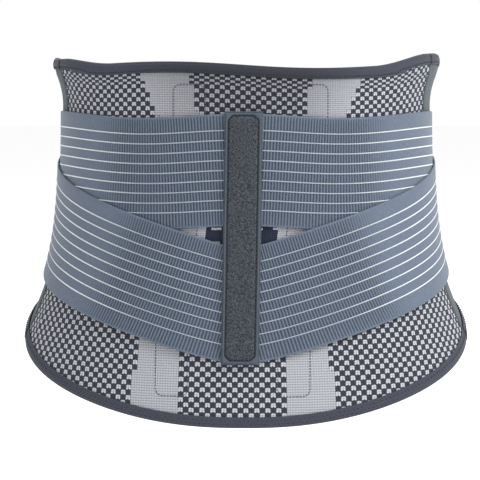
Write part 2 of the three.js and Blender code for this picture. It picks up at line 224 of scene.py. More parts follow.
# Distance from the skin to the inner and outer face of each layer
layers = {
    "lining": (0.1, 0.6),
    "seamTape": (1.0, 1.9),
    "knit": (2.4, 4.4),
    "front": (2.4, 5.0),
    "over": (8.3, 10.9),
    "upper": (5.5, 6.9),
    "lower": (7.4, 8.8),
    "stripBase": (7.4, 8.4),
    "velour": (8.8, 10.3),
    "loop": (5.5, 6.3),
    "closureHook": (7.3, 7.9),
    "tabHook": (5.9, 6.5),
    "tabOverStraps": (9.3, 10.7),
    "tabOverPanel": (7.0, 8.4),
}


def overClimb(angle):
    o = outline
    low = angleFromFront(o["rampEnd"] + o["rampLength"])
    high = angleFromFront(o["rampEnd"])
    return (layers["over"][0] - layers["front"][0]) * smooth(share(low, high, angle))


# Strap routes: heights of the centre lines by angle
straps = {
    "width": 80.0,
    "upperHeight": 182.3,
    "upperDip": 3.3,
    "lowerHeight": 87.0,
    "lowerRise": 47.0,
    "meetHeight": 162.0,
    "meetAngle": 136.0,
    "ribPitch": 2.2,
    "ribHeight": 0.5,
    "ribFadeStart": 84.0,  # along the strap, where it is stretched flat round the side
    "ribFadeEnd": 122.0,
    "silverLines": 9,
    "silverSpacing": 7.1,
    "silverWidth": 1.05,
    "silverHeight": 0.55,
    "splitAngle": 104.0,
}


def upperCentre(angle):
    s = straps
    dip = np.sin(np.pi * np.minimum(angle, 76.0) / 76.0) ** 2
    fall = smooth(share(80.0, s["meetAngle"], angle))
    return s["upperHeight"] - s["upperDip"] * dip - (s["upperHeight"] - s["meetHeight"]) * fall


def lowerCentre(angle):
    s = straps
    rise = np.clip(share(5.0, 76.0, angle), 0.0, 1.0) ** 1.15
    rest = 1.0 - np.clip(share(76.0, s["meetAngle"], angle), 0.0, 1.0)
    side = s["lowerHeight"] + s["lowerRise"]
    return s["lowerHeight"] + s["lowerRise"] * rise + (s["meetHeight"] - side) * (1.0 - rest**1.63)


def strapSlope(centre, angle):
    run = arcAtAngle(angle + 2.0, waist["height"]) - arcAtAngle(angle - 2.0, waist["height"])
    return (centre(angle + 2.0) - centre(angle - 2.0)) / run


def strapInner(level, angle):
    upper = layers["upper"][0]
    if level == "upper":
        return upper + 0.0 * angle
    return upper + (layers["lower"][0] - upper) * smooth(share(9.0, 22.0, np.abs(angle)))


def toLinear(hexColor):
    values = [int(hexColor[i : i + 2], 16) / 255.0 for i in (1, 3, 5)]
    return tuple(v / 12.92 if v <= 0.04045 else ((v + 0.055) / 1.055) ** 2.4 for v in values) + (1.0,)


# Adds a node and gives back one of its outputs. Settings are its properties, and inputs are values
# or the sockets that they link to.
def addNode(tree, kind, inputs=None, output=0, **settings):
    node = tree.nodes.new(kind if "Node" in kind else "ShaderNode" + kind)
    for key, value in settings.items():
        setattr(node, key, value)
    for key, value in (inputs or {}).items():
        if isinstance(value, bpy.types.NodeSocket):
            tree.links.new(value, node.inputs[key])
        else:
            node.inputs[key].default_value = value
    return node.outputs[output] if node.outputs else None


# A closed sheet from grids of points on its two faces. uv is in millimetres of cloth.
def slab(name, outer, inner, uv=None, material=None, faceValues=None, pointValues=None):
    rows, columns = outer.shape[:2]
    count = rows * columns
    points = np.concatenate([outer.reshape(-1, 3), inner.reshape(-1, 3)]) * mm
    at = np.arange(count).reshape(rows, columns)
    face = np.stack([at[:-1, :-1], at[:-1, 1:], at[1:, 1:], at[1:, :-1]], -1).reshape(-1, 4)
    border = np.concatenate([at[0, :-1], at[:-1, -1], at[-1, :0:-1], at[:0:-1, 0]])
    following = np.roll(border, -1)
    rim = np.stack([following, border, border + count, following + count], -1)
    faces = np.concatenate([face, face[:, ::-1] + count, rim])
    a, b, c, d = (points[faces[:, i]] for i in range(4))
    volume = np.einsum("ij,ij->", a, np.cross(b, c)) + np.einsum("ij,ij->", a, np.cross(c, d))
    if volume < 0:
        faces = faces[:, ::-1]
    mesh = bpy.data.meshes.new(name)
    mesh.from_pydata(points.tolist(), [], faces.tolist())
    if uv is not None:
        layer = mesh.uv_layers.new(name="cloth")
        grid = uv.reshape(-1, 2)[faces.ravel() % count]
        layer.data.foreach_set("uv", grid.astype(np.float32).ravel())
    for key, values in (faceValues or {}).items():
        attribute = mesh.attributes.new(key, "FLOAT", "FACE")
        onFaces = np.concatenate([values.ravel(), values.ravel(), np.zeros(len(rim))])
        attribute.data.foreach_set("value", onFaces.astype(np.float32))
    for key, (outerValues, innerValues) in (pointValues or {}).items():
        attribute = mesh.attributes.new(key, "FLOAT", "POINT")
        both = np.concatenate([outerValues.ravel(), innerValues.ravel()])
        attribute.data.foreach_set("value", both.astype(np.float32))
    form = bmesh.new()
    form.from_mesh(mesh)
    bmesh.ops.remove_doubles(form, verts=form.verts, dist=4e-6)
    form.to_mesh(mesh)
    form.free()
    mesh.shade_smooth()
    if material:
        mesh.materials.append(material)
    obj = bpy.data.objects.new(name, mesh)
    bpy.context.scene.collection.objects.link(obj)
    return obj


# Positions along a length, closer together where the edges turn round
def stations(length, step, rim):
    near = rim * np.array([0.0, 0.1, 0.35])
    count = max(int(round((length - 2 * rim) / step)), 1)
    middle = np.linspace(rim, length - rim, count + 1)
    return np.concatenate([near, middle, length - near[::-1]])


def turned(distance, rim):
    t = 1.0 - np.clip(distance / rim, 0.0, 1.0)
    return 0.18 + 0.82 * np.sqrt(1.0 - t * t)


# The two faces of a layer, drawn in to its middle near the edges
def rounded(inner, outer, edge):
    middle = (inner + outer) / 2.0
    half = (outer - inner) / 2.0 * edge
    return middle - half, middle + half


# A sheet that lies round the body between two angles and two heights
def wrapped(name, start, end, low, high, faces, material, side=1, step=3.0, row=4.0, rim=0.7, swell=None):
    startAt = start if callable(start) else lambda z: start + 0.0 * z
    endAt = end if callable(end) else lambda z: end + 0.0 * z
    length = float(
        arcAtAngle(endAt(waist["height"]), waist["height"])
        - arcAtAngle(startAt(waist["height"]), waist["height"])
    )
    along = stations(length, step, rim) / length
    nominal = startAt(waist["height"]) + (endAt(waist["height"]) - startAt(waist["height"])) * along
    bottom, top = low(nominal), high(nominal)
    tall = float(np.mean(top - bottom))
    across = stations(tall, row, rim) / tall
    z = bottom[:, None] + (top - bottom)[:, None] * across[None, :]
    angle = startAt(z) + (endAt(z) - startAt(z)) * along[:, None]
    distance = np.minimum(
        np.minimum(along, 1.0 - along)[:, None] * length,
        np.minimum(across, 1.0 - across)[None, :] * tall,
    )
    inner, outer = (face(angle) if callable(face) else face + 0.0 * angle for face in faces)
    inner, outer = rounded(inner, outer, turned(distance, rim))
    if swell:
        outer = outer + swell(arcAtAngle(angle, z), z) * smooth(distance / 4.0)
    uv = np.stack([arcAtAngle(angle, waist["height"]), z], -1)
    return slab(name, onBody(side * angle, z, outer), onBody(side * angle, z, inner), uv, material)


# An upright strip centred on an arc from the middle of the back
def upright(
    name, arcAt, low, high, halfWidth, faces, material, step=3.0, row=2.0, rim=0.7, swell=None, edge=None
):
    up = stations(high - low, step, rim)
    z = (low + up)[:, None]
    across = (stations(2 * halfWidth, row, rim) - halfWidth)[None, :]
    angle = angleAtArc(arcAt(z) + across, z)
    distance = np.minimum(np.minimum(up, high - low - up)[:, None], halfWidth - np.abs(across))
    inner, outer = rounded(faces[0], faces[1], turned(distance, rim))
    if swell:
        outer = outer + swell(across, z, distance)
    uv = np.stack(np.broadcast_arrays(across, z), -1)
    values = {"edge": (edge(across, z), edge(across, z))} if edge else None
    return slab(name, onBody(angle, z, outer), onBody(angle, z, inner), uv, material, pointValues=values)


# Lines of points in millimetres as one object with edges only, for the trees below to follow
def linesObject(name, lines):
    mesh = bpy.data.meshes.new(name)
    points, edges = [], []
    for line in lines:
        first = len(points)
        points += (np.asarray(line) * mm).tolist()
        edges += [(i, i + 1) for i in range(first, len(points) - 1)]
    mesh.from_pydata(points, edges, [])
    obj = bpy.data.objects.new(name, mesh)
    bpy.context.scene.collection.objects.link(obj)
    return obj


def newTree(name, inputs):
    tree = bpy.data.node_groups.new(name, "GeometryNodeTree")
    tree.interface.new_socket("Geometry", in_out="INPUT", socket_type="NodeSocketGeometry")
    tree.interface.new_socket("Geometry", in_out="OUTPUT", socket_type="NodeSocketGeometry")
    for label, value in inputs.items():
        kind = {float: "NodeSocketFloat", int: "NodeSocketInt"}.get(type(value), "NodeSocketMaterial")
        socket = tree.interface.new_socket(label, in_out="INPUT", socket_type=kind)
        if value is not None:
            socket.default_value = value
    source = tree.nodes.new("NodeGroupInput")
    return tree, source.outputs


# Ends a tree: every instance made real, then its material
def endTree(tree, geometry, material):
    real = addNode(tree, "GeometryNodeRealizeInstances", {0: geometry})
    painted = addNode(tree, "GeometryNodeSetMaterial", {"Geometry": real, "Material": material})
    addNode(tree, "NodeGroupOutput", {0: painted})


def applyTree(obj, tree, values):
    modifier = obj.modifiers.new("shape", "NODES")
    modifier.node_group = tree
    for item in tree.interface.items_tree:
        if item.in_out == "INPUT" and item.name in values:
            modifier[item.identifier] = values[item.name]
    depsgraph = bpy.context.evaluated_depsgraph_get()
    mesh = bpy.data.meshes.new_from_object(obj.evaluated_get(depsgraph))
    obj.modifiers.clear()
    mesh.name = obj.name
    mesh.shade_smooth()
    obj.data = mesh
    return obj


def ribTree():
    sizes = {"Pitch": 2.2, "Height": 0.5, "Fade Start": 84.0, "Fade End": 122.0, "Material": None}
    tree, given = newTree("ribbedWebbing", sizes)
    run = addNode(tree, "GeometryNodeInputNamedAttribute", {"Name": "run"}, data_type="FLOAT")
    face = addNode(tree, "GeometryNodeInputNamedAttribute", {"Name": "face"}, data_type="FLOAT")
    turns = addNode(tree, "Math", {0: run, 1: given["Pitch"]}, operation="DIVIDE")
    radians = addNode(tree, "Math", {0: turns, 1: math.tau}, operation="MULTIPLY")
    wave = addNode(tree, "Math", {0: radians}, operation="COSINE")
    groove = addNode(tree, "MapRange", {"Value": wave, 1: -1.0, 2: 1.0, 3: -mm, 4: 0.0})
    fade = addNode(
        tree,
        "MapRange",
        {"Value": run, 1: given["Fade Start"], 2: given["Fade End"], 3: 1.0, 4: 0.0},
        interpolation_type="SMOOTHSTEP",
    )
    shown = addNode(tree, "Math", {0: fade, 1: face}, operation="MULTIPLY")
    height = addNode(tree, "Math", {0: groove, 1: given["Height"]}, operation="MULTIPLY")
    depth = addNode(tree, "Math", {0: height, 1: shown}, operation="MULTIPLY")
    normal = addNode(tree, "GeometryNodeInputNormal")
    offset = addNode(tree, "VectorMath", {0: normal, "Scale": depth}, operation="SCALE")
    moved = addNode(tree, "GeometryNodeSetPosition", {"Geometry": given["Geometry"], "Offset": offset})
    endTree(tree, moved, given["Material"])
    return tree


def threadTree():
    tree, given = newTree("sweptThread", {"Width": 1.0, "Height": 0.6, "Sides": 6, "Material": None})
    curve = addNode(tree, "GeometryNodeMeshToCurve", {0: given["Geometry"]})
    level = addNode(tree, "GeometryNodeSetCurveNormal", {0: curve}, mode="Z_UP")
    circle = addNode(
        tree, "GeometryNodeCurvePrimitiveCircle", {"Resolution": given["Sides"], "Radius": 0.5 * mm}
    )
    scale = addNode(tree, "CombineXYZ", {0: given["Height"], 1: given["Width"], 2: 1.0})
    section = addNode(tree, "GeometryNodeTransform", {"Geometry": circle, "Scale": scale})
    swept = addNode(
        tree, "GeometryNodeCurveToMesh", {"Curve": level, "Profile Curve": section, "Fill Caps": True}
    )
    endTree(tree, swept, given["Material"])
    return tree


# Stitches along a line, every other one moved to the far side of it by the sway
def stitchTree():
    sizes = {"Spacing": 2.6, "Length": 1.9, "Thickness": 0.5, "Sway": 0.0, "Material": None}
    tree, given = newTree("stitchRow", sizes)
    curve = addNode(tree, "GeometryNodeMeshToCurve", {0: given["Geometry"]})
    level = addNode(tree, "GeometryNodeSetCurveNormal", {0: curve}, mode="Z_UP")
    spacing = addNode(tree, "Math", {0: given["Spacing"], 1: mm}, operation="MULTIPLY")
    spaced = addNode(tree, "GeometryNodeResampleCurve", {"Curve": level, "Length": spacing}, mode="LENGTH")
    tangent = addNode(tree, "GeometryNodeInputTangent")
    normal = addNode(tree, "GeometryNodeInputNormal")
    beside = addNode(tree, "VectorMath", {0: tangent, 1: normal}, operation="CROSS_PRODUCT")
    index = addNode(tree, "GeometryNodeInputIndex")
    odd = addNode(tree, "Math", {0: index, 1: 2.0}, operation="MODULO")
    turn = addNode(tree, "MapRange", {"Value": odd, 1: 0.0, 2: 1.0, 3: -0.5 * mm, 4: 0.5 * mm})
    sway = addNode(tree, "Math", {0: turn, 1: given["Sway"]}, operation="MULTIPLY")
    offset = addNode(tree, "VectorMath", {0: beside, "Scale": sway}, operation="SCALE")
    placed = addNode(tree, "GeometryNodeSetPosition", {"Geometry": spaced, "Offset": offset})
    along = addNode(tree, "FunctionNodeAlignRotationToVector", {"Vector": tangent}, axis="X")
    stitch = addNode(tree, "GeometryNodeMeshUVSphere", {"Segments": 8, "Rings": 5, "Radius": 0.5 * mm})
    scale = addNode(tree, "CombineXYZ", {0: given["Length"], 1: given["Thickness"], 2: given["Thickness"]})
    copies = addNode(
        tree,
        "GeometryNodeInstanceOnPoints",
        {"Points": placed, "Instance": stitch, "Rotation": along, "Scale": scale},
    )
    endTree(tree, copies, given["Material"])
    return tree


# Moulded hooks standing on the points of a pad: a stem with a head bent to one side
def hookTree():
    tree, given = newTree("mouldedHooks", {"Height": 1.0, "Width": 0.5, "Material": None})
    tall = addNode(tree, "Math", {0: given["Height"], 1: mm}, operation="MULTIPLY")
    wide = addNode(tree, "Math", {0: given["Width"], 1: 0.5 * mm}, operation="MULTIPLY")
    thin = addNode(tree, "Math", {0: wide, 1: 0.6}, operation="MULTIPLY")
    stem = addNode(
        tree,
        "GeometryNodeMeshCone",
        {"Vertices": 5, "Radius Top": thin, "Radius Bottom": wide, "Depth": tall},
        fill_type="TRIANGLE_FAN",
    )
    head = addNode(tree, "GeometryNodeMeshUVSphere", {"Segments": 5, "Rings": 3, "Radius": wide})
    high = addNode(tree, "CombineXYZ", {0: thin, 1: 0.0, 2: tall})
    bent = addNode(
        tree, "GeometryNodeTransform", {"Geometry": head, "Translation": high, "Scale": (1.5, 1.0, 0.8)}
    )
    join = tree.nodes.new("GeometryNodeJoinGeometry")
    tree.links.new(stem, join.inputs[0])
    tree.links.new(bent, join.inputs[0])
    normal = addNode(tree, "GeometryNodeInputNormal")
    upright = addNode(tree, "FunctionNodeAlignRotationToVector", {"Vector": normal}, axis="Z")
    copies = addNode(
        tree,
        "GeometryNodeInstanceOnPoints",
        {"Points": given["Geometry"], "Instance": join.outputs[0], "Rotation": upright},
    )
    endTree(tree, copies, given["Material"])
    return tree


# Short pile: tufts strewn over a patch, each turned and sized at random from one seed
def pileTree():
    sizes = {"Tuft": 1.2, "Density": 0.8, "Seed": 7, "Material": None}
    tree, given = newTree("brushedPile", sizes)
    metric = addNode(tree, "Math", {0: given["Density"], 1: 1.0e6}, operation="MULTIPLY")
    points = tree.nodes.new("GeometryNodeDistributePointsOnFaces")
    tree.links.new(given["Geometry"], points.inputs["Mesh"])
    tree.links.new(metric, points.inputs["Density"])
    tree.links.new(given["Seed"], points.inputs["Seed"])
    radius = addNode(tree, "Math", {0: given["Tuft"], 1: 0.5 * mm}, operation="MULTIPLY")
    tuft = addNode(tree, "GeometryNodeMeshIcoSphere", {"Radius": radius, "Subdivisions": 1})
    turn = addNode(
        tree,
        "FunctionNodeRandomValue",
        {0: (-0.5, -0.5, -3.1), 1: (0.5, 0.5, 3.1), "Seed": given["Seed"]},
        data_type="FLOAT_VECTOR",
    )
    size = addNode(
        tree,
        "FunctionNodeRandomValue",
        {0: (0.7, 0.35, 0.25), 1: (1.3, 0.6, 0.5), "Seed": given["Seed"]},
        data_type="FLOAT_VECTOR",
    )
    facing = addNode(
        tree, "FunctionNodeRotateRotation", {0: points.outputs["Rotation"], 1: turn}, rotation_space="LOCAL"
    )
    copies = addNode(
        tree,
        "GeometryNodeInstanceOnPoints",
        {"Points": points.outputs["Points"], "Instance": tuft, "Rotation": facing, "Scale": size},
    )
    endTree(tree, copies, given["Material"])
    return tree


ribs, threads, stitches, hooks, pile = ribTree(), threadTree(), stitchTree(), hookTree(), pileTree()
print("node trees built")


def newMaterial(name, roughness, metallic=0.0, sheen=0.0, specular=0.5):
    material = bpy.data.materials.new(name)
    material.use_nodes = True
    tree = material.node_tree
    shader = tree.nodes["Principled BSDF"]
    shader.inputs["Roughness"].default_value = roughness
    shader.inputs["Metallic"].default_value = metallic
    shader.inputs["Sheen Weight"].default_value = sheen
    shader.inputs["Sheen Roughness"].default_value = 0.5
    shader.inputs["Specular IOR Level"].default_value = specular
    return material, tree, shader


def finishMaterial(tree, shader, color, height=None, depth=0.2):
    tree.links.new(color, shader.inputs["Base Color"])
    if height:
        bump = addNode(tree, "Bump", {"Height": height, "Distance": depth * mm, "Strength": 1.0})
        tree.links.new(bump, shader.inputs["Normal"])


# The small of the back is hollow, so the cloth over it lies in a soft shade there
hollow = {
    "centre": (0.004, -0.11, 0.262),
    "size": (0.095, 0.06, 0.072),
    "shade": 0.58,
}


def hollowShade(tree, color):
    place = addNode(tree, "TexCoord", output="Object")
    away = addNode(tree, "VectorMath", {0: place, 1: hollow["centre"]}, operation="SUBTRACT")
    inUnits = addNode(tree, "VectorMath", {0: away, 1: hollow["size"]}, operation="DIVIDE")
    reach = addNode(tree, "VectorMath", {0: inUnits}, output="Value", operation="LENGTH")
    shade = addNode(
        tree,
        "MapRange",
        {"Value": reach, 1: 0.35, 2: 1.15, 3: hollow["shade"], 4: 1.0},
        interpolation_type="SMOOTHSTEP",
    )
    return addNode(tree, "MixRGB", {0: 1.0, 1: color, 2: shade}, blend_type="MULTIPLY")


knit = {
    "cell": 3.6,  # two stitches wide
    "cellWiden": 0.07,  # share that the cells are wider at the hem
    "rowTop": 3.1,
    "rowBottom": 3.6,
    "puff": 0.34,
    "squeeze": 0.6,  # rows are drawn together under the top binding
    "twistTop": 5.8,  # how far the middle of the pattern is off, in mm of arc
    "twistBottom": -6.7,
    "bandInner": 9.6,  # light bands, in cells from the middle of the pattern
    "bandOuter": 18.2,
    "navyHalf": 7.2,
    "navyLow": 122.0,
    "navyHigh": 152.0,
    "wander": 0.16,  # how far the cells stray from an even grid, in cells
    "holes": (3 * math.tau, 2 * math.tau, 0.0),  # of the light bands, to a cell
    "light": "#bbbdc4",
    "lightPaintedShade": "#94979f",
    "dark": "#252933",
    "darkWarm": "#33353c",
    "band": "#a1a3a9",
    "bandHole": "#6c6e75",
    "navy": "#1f2636",
}


# Polyester and elastane jacquard knit: matt, crisp checks of two stitches by two, each stitch a small
# swelling with painted shade between, and open holes in a fine grid on the plain light bands
def knitMaterial():
    k = knit
    material, tree, shader = newMaterial("polyester jacquard knit", 0.9, sheen=0.08, specular=0.25)
    cloth = addNode(tree, "UVMap", uv_map="cloth")  # in cells
    wobble = addNode(tree, "TexNoise", {"Vector": cloth, "Scale": 1.1, "Detail": 1.0}, output="Color")
    fine = addNode(tree, "TexNoise", {"Vector": cloth, "Scale": 5.0, "Detail": 2.0})
    centred = addNode(tree, "VectorMath", {0: wobble, 1: (0.5, 0.5, 0.5)}, operation="SUBTRACT")
    shift = addNode(tree, "VectorMath", {0: centred, "Scale": k["wander"]}, operation="SCALE")
    # Inside one cell, from -0.5 to 0.5 each way
    whole = addNode(tree, "VectorMath", {0: cloth}, operation="FRACTION")
    inCell = addNode(tree, "VectorMath", {0: whole, 1: (0.5, 0.5, 0.5)}, operation="SUBTRACT")
    bent = addNode(tree, "VectorMath", {0: inCell, 1: shift}, operation="ADD")
    cellX = addNode(tree, "SeparateXYZ", {0: bent})
    cellY = cellX.node.outputs["Y"]
    away = addNode(tree, "Math", {0: cellX}, operation="ABSOLUTE")
    square = addNode(tree, "Math", {0: cellX, 1: cellX}, operation="MULTIPLY")
    # Two stitches make a crown with two feet: rounded above, notched below
    crown = addNode(tree, "Math", {0: square, 1: -0.8, 2: 0.46}, operation="MULTIPLY_ADD")
    above = addNode(tree, "Math", {0: crown, 1: cellY}, operation="SUBTRACT")
    notch = addNode(tree, "MapRange", {"Value": away, 1: 0.03, 2: 0.15, 3: -0.27, 4: -0.45})
    below = addNode(tree, "Math", {0: cellY, 1: notch}, operation="SUBTRACT")
    foot = addNode(tree, "Math", {0: cellY, 1: -0.03, 2: 0.465}, operation="MULTIPLY_ADD")
    beside = addNode(tree, "Math", {0: foot, 1: away}, operation="SUBTRACT")
    nearest = addNode(tree, "Math", {0: above, 1: below}, operation="MINIMUM")
    nearest = addNode(tree, "Math", {0: nearest, 1: beside}, operation="MINIMUM")
    inside = addNode(tree, "MapRange", {"Value": nearest, 1: -0.03, 2: 0.06, 3: 0.0, 4: 1.0})
    parity = addNode(tree, "TexChecker", {"Vector": cloth, "Scale": 1.0}, output="Fac")
    checks = addNode(tree, "Math", {0: parity, 1: inside}, operation="MULTIPLY")
    waves = addNode(tree, "VectorMath", {0: cloth, "Scale": 2.0 * math.tau}, operation="SCALE")
    swell = addNode(tree, "VectorMath", {0: waves}, operation="COSINE")
    stitchX = addNode(tree, "SeparateXYZ", {0: swell})
    stitchY = stitchX.node.outputs["Y"]
    wale = addNode(tree, "MapRange", {"Value": stitchX, 1: -1.0, 2: 1.0, 3: 1.0, 4: 0.25})
    course = addNode(tree, "MapRange", {"Value": stitchY, 1: -1.0, 2: 1.0, 3: 1.0, 4: 0.35})
    stitch = addNode(tree, "Math", {0: wale, 1: course}, operation="MULTIPLY")
    grid = addNode(tree, "VectorMath", {0: cloth, 1: k["holes"]}, operation="MULTIPLY")
    gridWave = addNode(tree, "VectorMath", {0: grid}, operation="COSINE")
    holeX = addNode(tree, "SeparateXYZ", {0: gridWave})
    rows = addNode(tree, "MapRange", {"Value": holeX.node.outputs["Y"], 1: 0.2, 2: 0.9, 3: 0.0, 4: 1.0})
    dots = addNode(tree, "MapRange", {"Value": holeX, 1: -0.7, 2: 0.6, 3: 0.25, 4: 1.0})
    hole = addNode(tree, "Math", {0: rows, 1: dots}, operation="MULTIPLY")
    darkYarn = addNode(
        tree, "MixRGB", {0: fine, 1: toLinear(k["dark"]), 2: toLinear(k["darkWarm"])}
    )
    # The light yarn is painted darker between the stitches: painted shade
    lightYarn = addNode(
        tree, "MixRGB", {0: stitch, 1: toLinear(k["lightPaintedShade"]), 2: toLinear(k["light"])}
    )
    check = addNode(tree, "MixRGB", {0: checks, 1: darkYarn, 2: lightYarn})
    plain = addNode(tree, "MixRGB", {0: hole, 1: toLinear(k["band"]), 2: toLinear(k["bandHole"])})
    zone = addNode(tree, "Attribute", output="Fac", attribute_name="zone")
    isBand = addNode(tree, "Math", {0: zone, 1: 0.5}, operation="GREATER_THAN")
    isNavy = addNode(tree, "Math", {0: zone, 1: 1.5}, operation="GREATER_THAN")
    isDash = addNode(tree, "Math", {0: zone, 1: 2.5}, operation="GREATER_THAN")
    level = addNode(tree, "Math", {0: cellY}, operation="ABSOLUTE")
    thin = addNode(tree, "Math", {0: level, 1: 0.24}, operation="LESS_THAN")
    isDash = addNode(tree, "Math", {0: isDash, 1: thin}, operation="MULTIPLY")
    color = addNode(tree, "MixRGB", {0: isBand, 1: check, 2: plain})
    color = addNode(tree, "MixRGB", {0: isNavy, 1: color, 2: toLinear(k["navy"])})
    color = addNode(tree, "MixRGB", {0: isDash, 1: color, 2: lightYarn})
    # Every colour is made a little darker between the stitches: painted shade
    shade = addNode(tree, "MapRange", {"Value": stitch, 1: 0.0, 2: 0.8, 3: 0.82, 4: 1.0})
    tone = addNode(tree, "MixRGB", {0: 1.0, 1: color, 2: shade}, blend_type="MULTIPLY")
    finishMaterial(tree, shader, hollowShade(tree, tone), stitch, 0.35)
    return material


# Woven rib elastic of polyester over rubber: a soft sheen, deep narrow grooves between the cross ribs
# where it is slack and nearly none where it is stretched; the grooves are darkened with painted shade
def webbingMaterial():
    s = straps
    material, tree, shader = newMaterial("woven rib elastic", 0.62, sheen=0.15, specular=0.35)
    cloth = addNode(tree, "UVMap", uv_map="cloth")
    run = addNode(tree, "SeparateXYZ", {0: cloth})
    across = run.node.outputs["Y"]
    turns = addNode(tree, "Math", {0: run, 1: math.tau / s["ribPitch"]}, operation="MULTIPLY")
    wave = addNode(tree, "Math", {0: turns}, operation="COSINE")
    fade = addNode(
        tree,
        "MapRange",
        {"Value": run, 1: s["ribFadeStart"], 2: s["ribFadeEnd"], 3: 1.0, 4: 0.0},
        interpolation_type="SMOOTHSTEP",
    )
    edge = addNode(tree, "Math", {0: across, 1: s["width"] / 2}, operation="SUBTRACT")
    edge = addNode(tree, "Math", {0: edge}, operation="ABSOLUTE")
    inside = addNode(tree, "MapRange", {"Value": edge, 1: 38.3, 2: 39.2, 3: 1.0, 4: 0.0})
    ribbed = addNode(tree, "Math", {0: fade, 1: inside}, operation="MULTIPLY")
    # Painted shade in the grooves between the ribs, fading out where the webbing is stretched
    rib = addNode(tree, "MapRange", {"Value": wave, 1: -0.9, 2: 0.9, 3: -0.66, 4: 0.08})
    rib = addNode(tree, "Math", {0: rib, 1: ribbed}, operation="MULTIPLY")
    stretch = addNode(tree, "Mapping", {"Vector": cloth, "Scale": (1.1, 0.30, 1.0)})
    grain = addNode(tree, "TexNoise", {"Vector": stretch, "Scale": 1.0, "Detail": 3.0, "Roughness": 0.6})
    vary = addNode(tree, "MapRange", {"Value": grain, 1: 0.3, 2: 0.7, 3: 0.52, 4: 0.76})
    tone = addNode(tree, "Math", {0: vary, 1: rib}, operation="ADD", use_clamp=True)
    color = addNode(tree, "MixRGB", {0: tone, 1: toLinear("#28313f"), 2: toLinear("#606d7f")})
    yarn = addNode(
        tree, "TexWave", {"Vector": cloth, "Scale": 0.36, "Distortion": 1.5}, bands_direction="Y"
    )
    height = addNode(tree, "Math", {0: yarn, 1: grain}, operation="ADD")
    finishMaterial(tree, shader, color, height, 0.12)
    return material


# Flat silver polyester yarn floated over the ribs: slightly glossy, and brighter where the webbing is
# pulled flat round the side
def silverMaterial():
    material, tree, shader = newMaterial("silver polyester yarn", 0.42, sheen=0.1)
    place = addNode(tree, "TexCoord", output="Object")
    twist = addNode(tree, "TexNoise", {"Vector": place, "Scale": 700.0, "Detail": 1.0})
    x = addNode(tree, "SeparateXYZ", {0: place})
    aside = addNode(tree, "Math", {0: x}, operation="ABSOLUTE")
    pulled = addNode(tree, "MapRange", {"Value": aside, 1: 0.075, 2: 0.125, 3: 0.0, 4: 1.0})
    color = addNode(tree, "MixRGB", {0: twist, 1: toLinear("#727b86"), 2: toLinear("#97a0a7")})
    bright = addNode(tree, "MixRGB", {0: twist, 1: toLinear("#b4b9bd"), 2: toLinear("#dfe2e4")})
    color = addNode(tree, "MixRGB", {0: pulled, 1: color, 2: bright})
    finishMaterial(tree, shader, color, twist, 0.1)
    return material


# Folded nylon elastic tape: matt with a faint twill, a little lighter where it bulges
def tapeMaterial():
    material, tree, shader = newMaterial("nylon binding tape", 0.85, sheen=0.08, specular=0.25)
    cloth = addNode(tree, "UVMap", uv_map="cloth")
    twill = addNode(
        tree, "TexWave", {"Vector": cloth, "Scale": 0.33, "Distortion": 0.6}, bands_direction="DIAGONAL"
    )
    grain = addNode(tree, "TexNoise", {"Vector": cloth, "Scale": 0.9, "Detail": 3.0})
    both = addNode(tree, "Math", {0: twill, 1: grain}, operation="MULTIPLY")
    tone = addNode(tree, "MapRange", {"Value": both, 1: 0.1, 2: 0.6, 3: 0.0, 4: 1.0})
    color = addNode(tree, "MixRGB", {0: tone, 1: toLinear("#2f313c"), 2: toLinear("#41444f")})
    finishMaterial(tree, shader, hollowShade(tree, color), both, 0.12)
    return material


# Brushed nylon loop: dull charcoal, mottled where the nap lies in different directions
def velourMaterial(name, dark, light, edgeColor=None):
    material, tree, shader = newMaterial(name, 0.95, sheen=0.25, specular=0.2)
    place = addNode(tree, "TexCoord", output="Object")
    nap = addNode(tree, "TexNoise", {"Vector": place, "Scale": 950.0, "Detail": 2.0, "Roughness": 0.6})
    tone = addNode(tree, "MapRange", {"Value": nap, 1: 0.34, 2: 0.66, 3: 0.0, 4: 1.0})
    color = addNode(tree, "MixRGB", {0: tone, 1: toLinear(dark), 2: toLinear(light)})
    if edgeColor:
        atEdge = addNode(tree, "Attribute", output="Fac", attribute_name="edge")
        rim = addNode(tree, "MapRange", {"Value": atEdge, 1: 0.55, 2: 0.9, 3: 0.0, 4: 0.85})
        groove = addNode(tree, "MapRange", {"Value": atEdge, 1: 0.1, 2: 0.35, 3: 0.0, 4: 1.0})
        color = addNode(tree, "MixRGB", {0: groove, 1: color, 2: toLinear("#0b0d10")})
        color = addNode(tree, "MixRGB", {0: rim, 1: color, 2: toLinear(edgeColor)})
    finishMaterial(tree, shader, color, nap, 0.3)
    return material


# Laminated loop fabric of the front: grey-green and matt, with a fine even nap of about a millimetre,
# drawn coarser than the real 0.4 mm loops so that it shows
def frontMaterial():
    material, tree, shader = newMaterial("laminated loop fabric", 0.92, sheen=0.1, specular=0.2)
    cloth = addNode(tree, "UVMap", uv_map="cloth")
    nap = addNode(tree, "TexNoise", {"Vector": cloth, "Scale": 1.0, "Detail": 3.0, "Roughness": 0.7})
    tone = addNode(tree, "MapRange", {"Value": nap, 1: 0.3, 2: 0.7, 3: 0.0, 4: 1.0})
    color = addNode(tree, "MixRGB", {0: tone, 1: toLinear("#3a4146"), 2: toLinear("#50585d")})
    finishMaterial(tree, shader, color, nap, 0.25)
    return material


